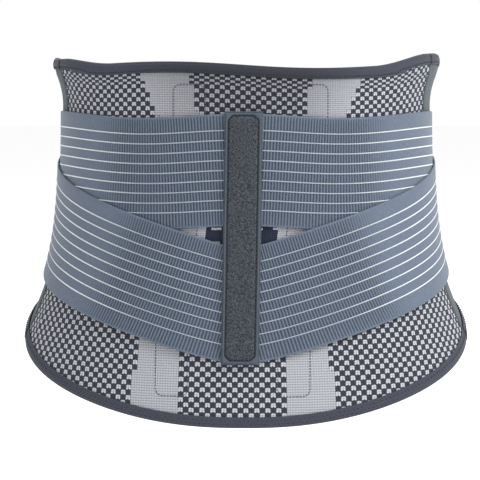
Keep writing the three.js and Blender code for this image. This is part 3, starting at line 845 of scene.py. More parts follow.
# Plain woven polyester lining: threads over and under at 0.7 mm, drawn at 1.2 mm so that they show
def liningMaterial(name, dark, light, gloss=0.85):
    material, tree, shader = newMaterial(name, gloss, specular=0.35)
    cloth = addNode(tree, "UVMap", uv_map="cloth")
    waves = addNode(tree, "VectorMath", {0: cloth, "Scale": math.tau / 2.4}, operation="SCALE")
    sine = addNode(tree, "VectorMath", {0: waves}, operation="SINE")
    x = addNode(tree, "SeparateXYZ", {0: sine})
    over = addNode(tree, "Math", {0: x, 1: x.node.outputs["Y"]}, operation="MULTIPLY")
    tone = addNode(tree, "MapRange", {"Value": over, 1: -0.6, 2: 0.6, 3: 0.0, 4: 1.0})
    color = addNode(tree, "MixRGB", {0: tone, 1: toLinear(dark), 2: toLinear(light)})
    finishMaterial(tree, shader, color, over, 0.1)
    return material


# Spun polyester sewing thread: matt, with a slight twist
def sewingMaterial(name, dark, light):
    material, tree, shader = newMaterial(name, 0.75)
    place = addNode(tree, "TexCoord", output="Object")
    twist = addNode(tree, "TexNoise", {"Vector": place, "Scale": 900.0})
    color = addNode(tree, "MixRGB", {0: twist, 1: toLinear(dark), 2: toLinear(light)})
    finishMaterial(tree, shader, color, twist, 0.08)
    return material


# Cold rolled spring steel: a satin grey with rolling lines along the stay
def steelMaterial():
    material, tree, shader = newMaterial("cold rolled spring steel", 0.34, metallic=1.0)
    place = addNode(tree, "TexCoord", output="Object")
    drawn = addNode(tree, "Mapping", {"Vector": place, "Scale": (2200.0, 2200.0, 18.0)})
    lines = addNode(tree, "TexNoise", {"Vector": drawn, "Scale": 1.0, "Detail": 2.0})
    color = addNode(tree, "MixRGB", {0: lines, 1: toLinear("#a9adb3"), 2: toLinear("#c9ccd0")})
    rough = addNode(tree, "MapRange", {"Value": lines, 1: 0.3, 2: 0.7, 3: 0.26, 4: 0.42})
    tree.links.new(rough, shader.inputs["Roughness"])
    finishMaterial(tree, shader, color, lines, 0.02)
    return material


# Moulded nylon or dipped vinyl: off-white with the slight waviness of a cast skin
def mouldedMaterial(name, dark, light, roughness):
    material, tree, shader = newMaterial(name, roughness)
    place = addNode(tree, "TexCoord", output="Object")
    waves = addNode(tree, "TexNoise", {"Vector": place, "Scale": 260.0, "Detail": 2.0})
    color = addNode(tree, "MixRGB", {0: waves, 1: toLinear(dark), 2: toLinear(light)})
    finishMaterial(tree, shader, color, waves, 0.08)
    return material


materials = {
    "knit": knitMaterial(),
    "webbing": webbingMaterial(),
    "silver": silverMaterial(),
    "tape": tapeMaterial(),
    "velour": velourMaterial("brushed nylon velour", "#15191d", "#484e55", "#48525d"),
    "stripTape": velourMaterial("woven strip tape", "#343c44", "#464f58"),
    "loop": velourMaterial("unbrushed loop patch", "#3d4349", "#5c646b"),
    "front": frontMaterial(),
    "lining": liningMaterial("plain woven lining", "#3a3f48", "#51565f"),
    "satin": liningMaterial("polyester satin label", "#dcdcd8", "#f3f3f0", 0.45),
    "darkThread": sewingMaterial("dark sewing thread", "#0d0f13", "#1f222a"),
    "greyThread": sewingMaterial("grey sewing thread", "#2f343f", "#464c58"),
    "steel": steelMaterial(),
    "nylonStay": mouldedMaterial("moulded nylon stay", "#d3d2cb", "#e4e3de", 0.45),
    "tip": mouldedMaterial("dipped vinyl tip", "#dcdcd8", "#ebebe8", 0.4),
    "hook": mouldedMaterial("moulded nylon hook", "#1b1d22", "#2c2f36", 0.5),
}
print("materials made:", len(materials))

seamBlend = ((0, -0.020, 0), (0, 0.026, 0))  # a span round the side; place() uses only that one is given
peelBlend = ((0, 0.033, 0), (0, 0.062, 0))


# Puts a finished piece on its body; a piece that spans two is left on none, with its transform baked in.
# Hides the CAD nodes it stands for.
def place(obj, body, slot, nodes=(), blend=None):
    if blend:
        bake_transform(obj)
    else:
        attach(obj, body)
    if nodes:
        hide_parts(*nodes)
    return obj


def threadObject(name, lines, material, width, height, sideCount=6):
    obj = linesObject(name, lines)
    values = {"Width": width, "Height": height, "Sides": sideCount, "Material": materials[material]}
    return applyTree(obj, threads, values)


def stitchObject(name, lines, material, spacing=2.6, length=1.9, thickness=0.5, sway=0.0):
    obj = linesObject(name, lines)
    values = {"Spacing": spacing, "Length": length, "Thickness": thickness, "Sway": sway}
    return applyTree(obj, stitches, {**values, "Material": materials[material]})


# Knit panel: a grid that follows the stitches, cut to the panel's outline. Columns keep their arc from
# the middle, rows are level at the hem and follow the upper edge near the top.
def patternShift(z):
    return knit["twistBottom"] + (knit["twistTop"] - knit["twistBottom"]) * smooth(share(60.0, 215.0, z))


def cellWidth(z):
    return knit["cell"] * (1.0 + knit["cellWiden"] * smooth(share(110.0, 0.0, z)))


def makeKnitPanel():
    k = knit
    inset = 1.1
    drop = (k["rowBottom"] - k["rowTop"]) / outline["top"]
    columns = np.arange(-62.0, 62.1, 0.5)
    rows = np.arange(-2.0, 90.1, 0.5)
    level = k["rowBottom"] / drop * (1.0 - np.exp(-drop * rows))
    u, zLevel = np.meshgrid(columns, level)
    v = np.broadcast_to(rows[:, None], u.shape)
    start = outline["top"] - 15.5
    squeezed = np.where(zLevel > start, start + (zLevel - start) * k["squeeze"], zLevel)
    upper = smooth(share(185.0, 255.0, zLevel))
    seamGap = math.degrees(0.2 / waist["halfWidth"])
    z = squeezed
    for _ in range(8):  # height and angle settle together, so that cut columns and rows meet exactly
        limit = seamAngle(z) - seamGap
        angle = np.clip(angleAtArc(patternShift(z) + u * cellWidth(z), z), -limit, limit)
        z = squeezed + (topEdge(angle) - outline["top"]) * upper
        z = np.clip(z, bottomEdge(angle) + inset, topEdge(angle) - inset)
    cellU = np.floor((u[:-1, :-1] + u[1:, 1:]) / 2)
    cellV = np.floor((v[:-1, :-1] + v[1:, 1:]) / 2)
    middleZ = np.interp(cellV + 0.5, rows, level)
    wide = np.abs(cellU + 0.5)
    lowShare = np.clip(share(54.0, 11.0, middleZ), 0, 1)
    flare = np.clip(share(216.0, 250.0, middleZ), 0, 1) * 4.0 + lowShare * 0.9
    tuck = np.clip(share(205.0, 250.0, middleZ), 0, 1) * 2.3 + lowShare * 0.7
    middle = (middleZ > k["navyLow"]) & (middleZ < k["navyHigh"])
    band = (wide > np.where(middle, k["navyHalf"], k["bandInner"] + tuck)) & (wide < k["bandOuter"] + flare)
    navy = (wide < k["navyHalf"]) & middle
    dash = navy & (np.mod(cellV, 3) == 1) & (np.mod(cellU, 4) > 1)
    zone = np.where(dash, 3.0, np.where(navy, 2.0, np.where(band, 1.0, 0.0)))
    light = (np.mod(cellU + cellV, 2) == 1) & (zone == 0)
    # Light cells swell, and the dark ones between them sink a little
    swell = np.zeros(u.shape)
    inner = np.where(light, k["puff"], np.where(zone == 0, -0.3 * k["puff"], 0.0))
    isMiddle = (np.mod(u, 1) == 0.5) & (np.mod(v, 1) == 0.5)
    atCell = np.zeros(u.shape)
    atCell[:-1, :-1] = inner
    swell[isMiddle] = atCell[isMiddle]
    rim = np.minimum(z - bottomEdge(angle), topEdge(angle) - z)
    fromSeam = (limit - np.abs(angle)) * 2.3
    swell = swell * smooth((rim - 4) / 4) * smooth((fromSeam - 0.5) / 3)
    outerOffset = layers["knit"][1] + swell + puckers(arcAtAngle(angle, z), z)
    innerOffset = layers["knit"][0] + 0.0 * z
    uv = np.stack([u, v], -1)
    obj = slab(
        "knitPanel",
        onBody(angle, z, outerOffset),
        onBody(angle, z, innerOffset),
        uv,
        materials["knit"],
        faceValues={"zone": zone},
    )
    return obj


# Small gathers where the seams and the straps pull the knit: arc, height, size and lean of each
gathers = [
    (-112.0, 236.0, 9.0, 0.6),
    (118.0, 238.0, 9.0, -0.6),
    (-172.0, 66.0, 12.0, 0.5),
    (-112.0, 62.0, 11.0, -0.9),
    (176.0, 70.0, 12.0, -0.5),
    (96.0, 40.0, 12.0, 0.4),
]


def puckers(arc, z):
    total = np.zeros(arc.shape)
    for arc0, z0, size, lean in gathers:
        x = arc - arc0
        y = z - z0
        along = x * math.sin(lean) + y * math.cos(lean)
        across = x * math.cos(lean) - y * math.sin(lean)
        near = np.exp(-((along / size) ** 2) - (across / (0.35 * size)) ** 2)
        total += 0.9 * near * np.cos(across / size * 3.0)
    return total


knitPanel = makeKnitPanel()
place(knitPanel, "back", "knitted_panel", ["back_knit_panel"])
print("knit panel:", len(knitPanel.data.polygons), "faces")


# Bindings: a tape folded over an edge. The section runs from the outer hem over the fold to the inner
# hem, as distances in from the edge and out from the skin.
binding = {
    "thickness": 0.9,
    "clearance": 0.12,
    "bulge": 0.45,
    "stitchLine": 0.80,  # share of the width where the stitches pull the tape in
    "pull": 0.5,
    "topWidth": 7.7,
    "bottomWidth": 7.8,
    "endWidth": 9.0,
}


def bindingSection(width, inner, outer):
    b = binding
    half = b["thickness"] / 2.0
    near = outer + b["clearance"] + half
    far = inner - b["clearance"] - half
    radius = (near - far) / 2.0
    centre = (near + far) / 2.0
    legs = width - stations(width - radius - half, 0.7, 0.5)
    turn = np.linspace(0.0, np.pi, 9)[1:-1]
    reach = share(radius + half, width, legs)
    bulge = b["bulge"] * np.sin(np.pi * np.clip(reach, 0, 1)) ** 0.7
    pull = b["pull"] * np.exp(-(((legs / width - b["stitchLine"]) / 0.07) ** 2))
    distance = np.concatenate([legs, radius + half - radius * np.sin(turn), legs[::-1]])
    offset = np.concatenate(
        [near + bulge - pull, centre + radius * np.cos(turn), (far - 0.4 * bulge)[::-1]]
    )
    step = np.gradient(np.stack([distance, offset], -1), axis=0)
    normal = np.stack([step[:, 1], -step[:, 0]], -1)
    normal /= np.linalg.norm(normal, axis=-1, keepdims=True)
    length = np.concatenate([[0.0], np.cumsum(np.hypot(np.diff(distance), np.diff(offset)))])
    thin = half * turned(np.minimum(length, length[-1] - length), 0.5)[:, None]
    path = np.stack([distance, offset], -1)
    return path + normal * thin, path - normal * thin, length


def edgeBinding(name, edge, up, width, faces, start, end, side=1, climb=None, step=2.5):
    count = int((end(waist["height"]) - start(waist["height"])) * 2.4 / step)
    along = np.linspace(0.0, 1.0, count + 1)
    outer, inner, length = bindingSection(width, *faces)
    first, last = start(waist["height"]), end(waist["height"])
    nominal = first + (last - first) * along
    slope = np.gradient(edge(nominal)) / np.gradient(arcAtAngle(nominal, 120.0))
    tilt = np.hypot(1.0, slope)[:, None]
    grids = []
    for section in (outer, inner):
        z = edge(nominal)[:, None] - up * section[None, :, 0] * tilt
        angle = start(z) + (end(z) - start(z)) * along[:, None]
        offset = section[None, :, 1] + (climb(angle) if climb else 0.0)
        grids.append(onBody(side * angle, z, offset))
    uv = np.stack(np.broadcast_arrays(arcAtAngle(nominal, waist["height"])[:, None], length[None, :]), -1)
    return slab(name, grids[0], grids[1], uv, materials["tape"])


# A line that follows an edge at a distance in from it
def alongEdge(edge, up, inset, offset, start, end, side=1, climb=None, count=220):
    along = np.linspace(0.0, 1.0, count)
    nominal = start(waist["height"]) + (end(waist["height"]) - start(waist["height"])) * along
    slope = np.gradient(edge(nominal)) / np.gradient(arcAtAngle(nominal, 120.0))
    z = edge(nominal) - up * inset * np.hypot(1.0, slope)
    angle = start(z) + (end(z) - start(z)) * along
    out = offset + (climb(angle) if climb else 0.0)
    return onBody(side * angle, z, out)


def seamBack(z):
    return seamAngle(z) - 0.02


def seamFront(z):
    return seamAngle(z) + 0.02


def seamMinus(z):
    return -seamBack(z)


panelEnd = frontEnd - frontShift(1.4)
knitFaces, frontFaces = layers["knit"], layers["front"]
topWidth, bottomWidth = binding["topWidth"], binding["bottomWidth"]
tapeFace = binding["clearance"] + binding["thickness"]
topTape = edgeBinding("topBindingTape", topEdge, 1, topWidth, knitFaces, seamMinus, seamBack)
bottomTape = edgeBinding("bottomBindingTape", bottomEdge, -1, bottomWidth, knitFaces, seamMinus, seamBack)
place(topTape, "back", "binding_tape", ["back_top_binding"])
place(bottomTape, "back", "binding_tape", ["back_bottom_binding"])
topLine = alongEdge(
    topEdge, 1, topWidth * binding["stitchLine"], knitFaces[1] + tapeFace + 0.02, seamMinus, seamBack
)
bottomLine = alongEdge(
    bottomEdge, -1, bottomWidth * 0.5, knitFaces[1] + tapeFace + 0.2, seamMinus, seamBack
)
topStitches = stitchObject("topBindingStitches", [topLine], "darkThread", 2.7, 2.2, 0.8)
bottomStitches = stitchObject("bottomBindingStitches", [bottomLine], "darkThread", 1.65, 1.5, 0.8, 2.6)
place(topStitches, "back", "binding_tape")
place(bottomStitches, "back", "binding_tape")


# Stay pockets: a woven lining on the inside, sewn through the knit along its outline
pocket = {
    "low": 22.0,
    "high": 247.0,
    "halfWidth": 14.0,
    "channel": 8.0,
    "arcTop": 46.0,
    "arcBottom": 39.0,
    "seamArc": 43.0,  # the sewn outline's middle, which the knit's twist carries round
    "seamHalf": 11.5,
    "seamTop": 243.0,
    "seamBottom": 22.0,
    "corner": 5.0,
}


def pocketLining(name, arcAt, low, high, halfWidth, channel):
    up = stations(high - low, 4.0, 0.4)
    z = (low + up)[:, None]
    across = (stations(2 * halfWidth, 1.0, 0.3) - halfWidth)[None, :]
    angle = angleAtArc(arcAt(z) + across, z)
    raised = 1.4 * smooth(share(channel, channel + 2.5, np.abs(across)))
    distance = np.minimum(np.minimum(up, high - low - up)[:, None], halfWidth - np.abs(across))
    inner, outer = rounded(
        layers["lining"][0] + raised, layers["lining"][1] + raised, turned(distance, 0.3)
    )
    uv = np.stack(np.broadcast_arrays(across, z), -1)
    return slab(name, onBody(angle, z, outer), onBody(angle, z, inner), uv, materials["lining"])


def roundedBox(low, high, half, corner, arcAt, offset, step=1.5):
    straight = np.arange(low + corner, high - corner, step)
    flat = np.arange(-half + corner, half - corner + 0.1, step)
    turn = np.linspace(0, np.pi / 2, 6)[1:-1]
    x = np.concatenate([
        np.full(len(straight), half),
        half - corner + corner * np.cos(turn),
        flat[::-1],
        -half + corner - corner * np.sin(turn),
        np.full(len(straight), -half),
        -half + corner - corner * np.cos(turn),
        flat,
        half - corner + corner * np.sin(turn),
    ])
    y = np.concatenate([
        straight,
        high - corner + corner * np.sin(turn),
        np.full(len(flat), high),
        high - corner + corner * np.cos(turn),
        straight[::-1],
        low + corner - corner * np.sin(turn),
        np.full(len(flat), low),
        low + corner - corner * np.cos(turn),
    ])
    x, y = np.append(x, x[0]), np.append(y, y[0])
    return onBody(angleAtArc(arcAt(y) + x, y), y, offset)


linings = {}
for name, side in sides:
    p = pocket

    def stayArc(z, side=side, p=p):
        return side * (p["arcBottom"] + (p["arcTop"] - p["arcBottom"]) * share(p["low"], p["high"], z))

    def seamArc(z, side=side, p=p):
        return side * p["seamArc"] + patternShift(z)

    lining = pocketLining(f"{name}PocketLining", stayArc, p["low"], p["high"], p["halfWidth"], p["channel"])
    place(lining, "back", "pocket_lining", [f"{name}_stay_pocket"])
    outside = roundedBox(
        p["seamBottom"], p["seamTop"], p["seamHalf"], p["corner"], seamArc, knitFaces[1] + 0.12
    )
    outerSeam = stitchObject(f"{name}PocketSeam", [outside], "greyThread", 2.4, 1.9, 0.7)
    place(outerSeam, "back", "pocket_lining")
    inside = roundedBox(p["low"] + 1.5, p["high"] - 1.5, p["halfWidth"] - 1.2, 2.0, stayArc, 1.5)
    innerSeam = stitchObject(f"{name}PocketInnerSeam", [inside], "greyThread", 2.6, 2.0, 0.45)
    place(innerSeam, "back", "pocket_lining")
    linings[name] = (lining, [outerSeam, innerSeam])
    for end in ("top", "bottom"):
        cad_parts[f"{name}_stay_{end}_tip"].data.materials.clear()
        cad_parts[f"{name}_stay_{end}_tip"].data.materials.append(materials["tip"])
    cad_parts[f"{name}_back_stay"].data.materials.clear()
    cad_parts[f"{name}_back_stay"].data.materials.append(materials["steel"])
print("bindings and stay pockets made")


# Tape over each side seam on the inside, and the blank care label beside the left one
def seamTapeStart(z):
    return seamAngle(z) - math.degrees(10.3 / waist["halfWidth"])


sideTapes = []
for name, side in sides:
    tape = wrapped(
        f"{name}SeamTape",
        seamTapeStart,
        seamBack,
        lambda angle: bottomEdge(angle) + 19.8,
        lambda angle: topEdge(side * angle) - 20.5,
        layers["seamTape"],
        materials["tape"],
        side,
        step=1.5,
        rim=0.4,
    )
    place(tape, "back", "binding_tape", [f"{name}_seam_tape"])
    z = np.arange(float(bottomEdge(78.0)) + 11.0, float(topEdge(75.0)) - 12.0, 2.0)
    behind = side * (seamAngle(z) - math.degrees(2.2 / waist["halfWidth"]))
    line = onBody(behind, z, knitFaces[1] + 0.1)
    seam = stitchObject(f"{name}SideSeam", [line], "darkThread", 2.6, 2.2, 0.7)
    place(seam, "back", "binding_tape")
    sideTapes += [tape, seam]
careLabel = {"low": 144.0, "high": 180.0, "halfWidth": 12.0, "gap": 9.0}
labelArc = float(arcAtAngle(seamAngle(waist["height"]), waist["height"])) - careLabel["gap"]
labelArc -= 2 * careLabel["halfWidth"]
label = upright(
    "careLabel", lambda z: -labelArc, careLabel["low"], careLabel["high"],
    careLabel["halfWidth"], (1.0, 1.5), materials["satin"], 2.0, 2.0, 0.3
)
place(label, "back", "label_satin", ["blank_care_label"])


# Centre strip: woven tape with a velour strip on it, sewn down near its edges
strip = {
    "low": 44.0,
    "high": 224.0,
    "halfWidth": 13.15,
    "leanTop": 1.05,
    "leanBottom": -1.3,
    "velourInset": 1.1,
    "grooveInset": 2.9,
    "grooveDepth": 0.85,
    "grooveWidth": 0.8,
    "corner": 3.2,
    "tuft": 1.15,
    "tuftDensity": 1.3,  # to the square millimetre
}


def stripArc(z):
    lean = strip["leanTop"] - strip["leanBottom"]
    return strip["leanBottom"] + lean * share(strip["low"], strip["high"], z)


# How far a point of the strip is from the sewn groove, whose corners are cut off
def grooveDistance(across, z):
    s = strip
    x = s["halfWidth"] - s["grooveInset"] - np.abs(across)
    y = np.minimum(z - s["low"], s["high"] - z) - s["grooveInset"]
    cut = (x + y - s["corner"]) / math.sqrt(2.0)
    return np.minimum(np.minimum(x, y), cut)


# 0 on the pile, 0.5 in the groove, 1 on the flat edge outside it
def edgeShare(across, z):
    return smooth(share(1.3, -1.3, grooveDistance(across, z)))


def velourSwell(across, z, distance):
    s = strip
    groove = -s["grooveDepth"] * np.exp(-((grooveDistance(across, z) / s["grooveWidth"]) ** 2))
    crown = 0.35 * smooth(grooveDistance(across, z) / 5.0)
    return groove + crown


def makeStrip():
    s = strip
    base = upright(
        "stripTape", stripArc, s["low"], s["high"], s["halfWidth"], layers["stripBase"],
        materials["stripTape"]
    )
    inset = s["velourInset"]
    half = s["halfWidth"] - inset
    low, high = s["low"] + inset, s["high"] - inset
    velour = upright(
        "velourStrip", stripArc, low, high, half, layers["velour"],
        materials["velour"], 0.8, 0.5, 0.6, velourSwell, edgeShare
    )
    patch = velour.copy()
    patch.data = velour.data.copy()
    keepPileFaces(patch, half - 0.3)
    patch = applyTree(
        patch,
        pile,
        {"Tuft": s["tuft"], "Density": s["tuftDensity"], "Seed": 7, "Material": materials["velour"]},
    )
    patch.name = "velourPile"
    corner = s["corner"]
    line = chamferedBox(
        s["low"] + s["grooveInset"], s["high"] - s["grooveInset"],
        s["halfWidth"] - s["grooveInset"], corner
    )
    z = line[:, 1]
    points = onBody(angleAtArc(stripArc(z) + line[:, 0], z), z, layers["velour"][1] - 0.55)
    seam = stitchObject("stripSeam", [points], "darkThread", 2.9, 2.6, 0.9)
    return base, velour, patch, seam


def chamferedBox(low, high, half, corner):
    points = [(half, low + corner), (half, high - corner), (half - corner, high), (-half + corner, high)]
    points += [(-x, low + high - y) for x, y in points]
    points.append(points[0])
    line = []
    for (x0, y0), (x1, y1) in zip(points[:-1], points[1:]):
        count = max(int(math.hypot(x1 - x0, y1 - y0) / 1.5), 1)
        line += [(x0 + (x1 - x0) * i / count, y0 + (y1 - y0) * i / count) for i in range(count)]
    return np.array(line + [points[0]])


# Leaves only the faces on the outer side of the velour, where the pile stands
def keepPileFaces(obj, half):
    form = bmesh.new()
    form.from_mesh(obj.data)
    form.normal_update()
    gone = []
    for face in form.faces:
        middle = face.calc_center_median() / mm
        across = middle.x - stripArc(middle.z)
        depth = grooveDistance(np.array(across), np.array(middle.z))
        if face.normal.y > -0.7 or abs(across) > half * 1.08 or depth < 1.0:
            gone.append(face)
    bmesh.ops.delete(form, geom=gone, context="FACES")
    form.to_mesh(obj.data)
    form.free()
    bpy.context.scene.collection.objects.link(obj)


stripTape, velourStrip, velourPile, stripSeam = makeStrip()
place(stripTape, "back", "binding_tape", ["centre_strip_base"])
place(velourStrip, "back", "velour", ["centre_velour_strip"])
place(velourPile, "back", "velour")
place(stripSeam, "back", "velour")
print("centre strip made:", len(velourPile.data.polygons), "faces of pile")


# Straps. Each runs from under the centre strip round the side to its pull tab. It is cut at the angle
# where its end peels off. Columns stand across the strap, so that the ribs do too.
tab = {
    "start": 106.0,  # arcs from the middle of the front
    "end": 67.0,
    "height": 74.0,
    "taper": 0.12,
    "padStart": 0.3,
    "padEnd": 1.2,
}
tabStart = angleFromFront(tab["start"])
strapEnd = tabStart + frontShift(14.0)
startArc = 0.6


def strapRoute(centre):
    angles = np.arange(-30.0, 150.1, 0.1)
    heights = centre(np.maximum(angles, 0.0))
    points = onBody(angles, heights, 6.2)
    lengths = np.concatenate([[0.0], np.cumsum(np.linalg.norm(np.diff(points, axis=0), axis=1))])
    return angles, lengths - np.interp(0.0, angles, lengths)


def strapPlace(centre, route, run, across, low, high):
    angle = np.interp(run, route[1], route[0])
    slope = strapSlope(centre, np.maximum(angle, 9.0))
    perArc = np.interp(run + 1.0, route[1], route[0]) - angle
    angle = np.clip(angle - across * slope / np.hypot(1.0, slope) * perArc, low, high)
    z = centre(angle) + across * np.hypot(1.0, strapSlope(centre, np.maximum(angle, 9.0)))
    return angle, z


def makeStrap(name, side, level, first, last, ribbed):
    s = straps
    centre = upperCentre if level == "upper" else lowerCentre
    route = strapRoute(centre)
    low = float(angleAtArc(startArc, waist["height"])) if first is None else first
    runLow = np.interp(low, *route)
    runHigh = np.interp(last, *route)
    spread = 26.0  # the slanting columns reach past both ends, and are cut there
    fine = np.arange(runLow - spread, s["ribFadeEnd"], s["ribPitch"] / 6.0) if ribbed else np.array([])
    coarse = np.arange(s["ribFadeEnd"] if ribbed else runLow - spread, runHigh + spread, 2.5)
    run = np.concatenate([fine, coarse])[:, None]
    across = (stations(s["width"], 3.6, 0.8) - s["width"] / 2)[None, :]
    angle, z = strapPlace(centre, route, run, across, low, last)
    thickness = layers["upper"][1] - layers["upper"][0]
    distance = s["width"] / 2 - np.abs(across) + 0.0 * run
    inner = strapInner(level, angle)
    inner, outer = rounded(inner, inner + thickness, turned(distance, 0.8))
    face = smooth((distance - 0.6) / 1.2)
    obj = slab(
        name,
        onBody(side * angle, z, outer),
        onBody(side * angle, z, inner),
        np.stack(np.broadcast_arrays(run, across + s["width"] / 2), -1),
        materials["webbing"],
        pointValues={"run": (run + 0.0 * across, run + 0.0 * across), "face": (face, 0.0 * face)},
    )
    if ribbed:
        values = {
            "Pitch": s["ribPitch"],
            "Height": s["ribHeight"],
            "Fade Start": s["ribFadeStart"],
            "Fade End": s["ribFadeEnd"],
        }
        obj = applyTree(obj, ribs, {**values, "Material": materials["webbing"]})
    lines = []
    for i in range(s["silverLines"]):
        v = (i - (s["silverLines"] - 1) / 2) * s["silverSpacing"]
        lineRun = np.arange(runLow - spread, runHigh + spread, 1.6)
        a, height = strapPlace(centre, route, lineRun, v, low, last)
        inside = (a > low) & (a < last)
        out = strapInner(level, a) + thickness + 0.05
        lines.append(onBody(side * a[inside], height[inside], out[inside]))
    silver = threadObject(f"{name}SilverLines", lines, "silver", s["silverWidth"], s["silverHeight"])
    length = float(runHigh - runLow)
    return obj, silver, length


webbing = {}
split = straps["splitAngle"]
for name, side in sides:
    body, front, ends = "back", f"{name}_front", f"{name}_straps"
    for level in ("upper", "lower"):
        title = f"{name}{level.capitalize()}Strap"
        obj, silver, length = makeStrap(title, side, level, None, split - 0.02, True)
        nodes = [f"{name}_{level}_strap_back", f"{name}_{level}_strap_side"]
        place(obj, (body, front), "elastic_webbing", nodes, seamBlend)
        place(silver, (body, front), "elastic_webbing", blend=seamBlend)
        webbing[obj.name] = (obj, length, [silver])
        obj, silver, length = makeStrap(f"{title}End", side, level, split + 0.02, strapEnd, False)
        place(obj, (front, ends), "elastic_webbing", [f"{name}_{level}_strap_front"], peelBlend)
        place(silver, (front, ends), "elastic_webbing", blend=peelBlend)
        webbing[obj.name] = (obj, length, [silver])
print("straps made")


# Front panels with their bindings, stays, pockets and the closure
def clothWave(arc, z):
    return 0.35 * np.sin(arc / 17.0 + z / 29.0) * np.sin(z / 23.0 - arc / 41.0)


def makeFront(name, side):
    body = ("back", f"{name}_front")
    climb = overClimb if name == "left" else None

    def lift(angle):
        return climb(angle) if climb else 0.0 * angle

    panel = wrapped(
        f"{name}FrontPanel",
        seamFront,
        panelEnd,
        lambda angle: bottomEdge(angle) + 1.1,
        lambda angle: topEdge(side * angle) - 1.1,
        (lambda angle: frontFaces[0] + lift(angle), lambda angle: frontFaces[1] + lift(angle)),
        materials["front"],
        side,
        step=2.5,
        row=3.5,
        swell=clothWave,
    )
    place(panel, body, "front_fabric", [f"{name}_front_panel"], seamBlend)
    edges = (("Top", lambda a: topEdge(side * a), 1, topWidth), ("Bottom", bottomEdge, -1, bottomWidth))
    hems = []
    for title, edge, up, width in edges:
        tape = edgeBinding(
            f"{name}Front{title}Tape", edge, up, width, frontFaces,
            seamFront, lambda z: panelEnd + 0.0 * z, side, climb
        )
        place(tape, body, "binding_tape", [f"{name}_front_{title.lower()}_binding"], seamBlend)
        sway = 0.0 if up > 0 else 2.6
        inset = width * (binding["stitchLine"] if up > 0 else 0.5)
        out = frontFaces[1] + tapeFace + (0.02 if up > 0 else 0.15)
        line = alongEdge(edge, up, inset, out, seamFront, lambda z: panelEnd + 0.0 * z, side, climb)
        spacing = 2.7 if up > 0 else 1.65
        row = stitchObject(f"{name}Front{title}Stitches", [line], "darkThread", spacing, 1.6, 0.8, sway)
        place(row, body, "binding_tape", blend=seamBlend)
        hems += [tape, row]
    return panel, hems


# The tape folded over the closing end of a panel
def endBinding(name, side, faces, low, high):
    outer, inner, length = bindingSection(binding["endWidth"], *faces)
    z = (low + stations(high - low, 3.0, 0.5))[:, None]
    grids = []
    for section in (outer, inner):
        angle = frontEnd - np.degrees(section[None, :, 0] / waist["frontDepth"])
        grids.append(onBody(side * angle, z, section[None, :, 1]))
    uv = np.stack(np.broadcast_arrays(z, length[None, :]), -1)
    return slab(name, grids[0], grids[1], uv, materials["tape"])


# Pad of hook tape facing the body, with its hooks on a grid wider than the real 0.7 mm
def hookPad(name, side, start, end, low, high, back):
    spacing = closure["hookSpacing"]
    base = wrapped(
        name, start, end, lambda a: low + 0.0 * a,
        lambda a: high + 0.0 * a, back, materials["hook"], side, rim=0.3
    )
    turn = np.arange(start + frontShift(1.0), end - frontShift(1.0), frontShift(spacing))
    z = np.arange(low + 1.0, high - 1.0, spacing)
    points = onBody(side * turn[:, None], z[None, :], back[0] + 0.02)
    rows, columns = points.shape[:2]
    at = np.arange(rows * columns).reshape(rows, columns)
    faces = np.stack([at[:-1, :-1], at[:-1, 1:], at[1:, 1:], at[1:, :-1]], -1).reshape(-1, 4)
    mesh = bpy.data.meshes.new(f"{name}Hooks")
    mesh.from_pydata((points.reshape(-1, 3) * mm).tolist(), [], faces[:, ::side].tolist())
    field = bpy.data.objects.new(f"{name}Hooks", mesh)
    bpy.context.scene.collection.objects.link(field)
    values = {"Height": closure["hookHeight"], "Width": 0.6, "Material": materials["hook"]}
    return base, applyTree(field, hooks, values)


# The closure: left end over right, with a hook pad inside it that grips a loop patch
closure = {
    "reach": 24.0,
    "inset": 10.5,
    "margin": 12.0,
    "hookSpacing": 1.5,
    "hookHeight": 0.5,
}
stay = {"arc": 86.0, "pocketLength": 118.0, "pocketHalf": 11.0, "channel": 6.6}

fronts = {name: makeFront(name, side) for name, side in sides}
endLow = float(bottomEdge(180.0)) + 7.8
endHigh = float(topEdge(180.0)) - 8.5
stayMiddle = float(topEdge(180.0) + bottomEdge(180.0)) / 2.0
closeStart = angleFromFront(closure["reach"])
closeEnd = frontEnd - frontShift(closure["inset"])
pads = {}
for name, side in sides:
    faces = layers["over"] if name == "left" else frontFaces
    body = f"{name}_front"
    tape = endBinding(f"{name}FrontEndTape", side, faces, endLow + 0.5, endHigh - 0.5)
    place(tape, body, "binding_tape", [f"{name}_front_end_binding"])
    z = np.arange(endLow + 2.0, endHigh - 2.0, 2.0)
    angle = frontEnd - frontShift(binding["endWidth"] * binding["stitchLine"])
    line = onBody(side * angle, z, faces[1] + tapeFace + 0.02)
    row = stitchObject(f"{name}FrontEndStitches", [line], "darkThread", 2.7, 1.6, 0.8)
    place(row, body, "binding_tape")
    fronts[name][1].extend([tape, row])

    def frontStayArc(z, side=side):
        return side * arcAtAngle(angleFromFront(stay["arc"]), z)

    low, high = stayMiddle - stay["pocketLength"] / 2, stayMiddle + stay["pocketLength"] / 2
    lining = pocketLining(
        f"{name}FrontPocket", frontStayArc, low, high, stay["pocketHalf"], stay["channel"]
    )
    place(lining, body, "pocket_lining", [f"{name}_front_stay_pocket"])
    sewn = roundedBox(low + 1.2, high - 1.2, stay["pocketHalf"] - 1.0, 2.0, frontStayArc, 1.5)
    row = stitchObject(f"{name}FrontPocketSeam", [sewn], "greyThread", 2.6, 2.0, 0.45)
    place(row, body, "pocket_lining")
    pads[f"{name}FrontPocket"] = (lining, [row])
    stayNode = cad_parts[f"{name}_front_stay"]
    stayNode.data.materials.clear()
    stayNode.data.materials.append(materials["nylonStay"])

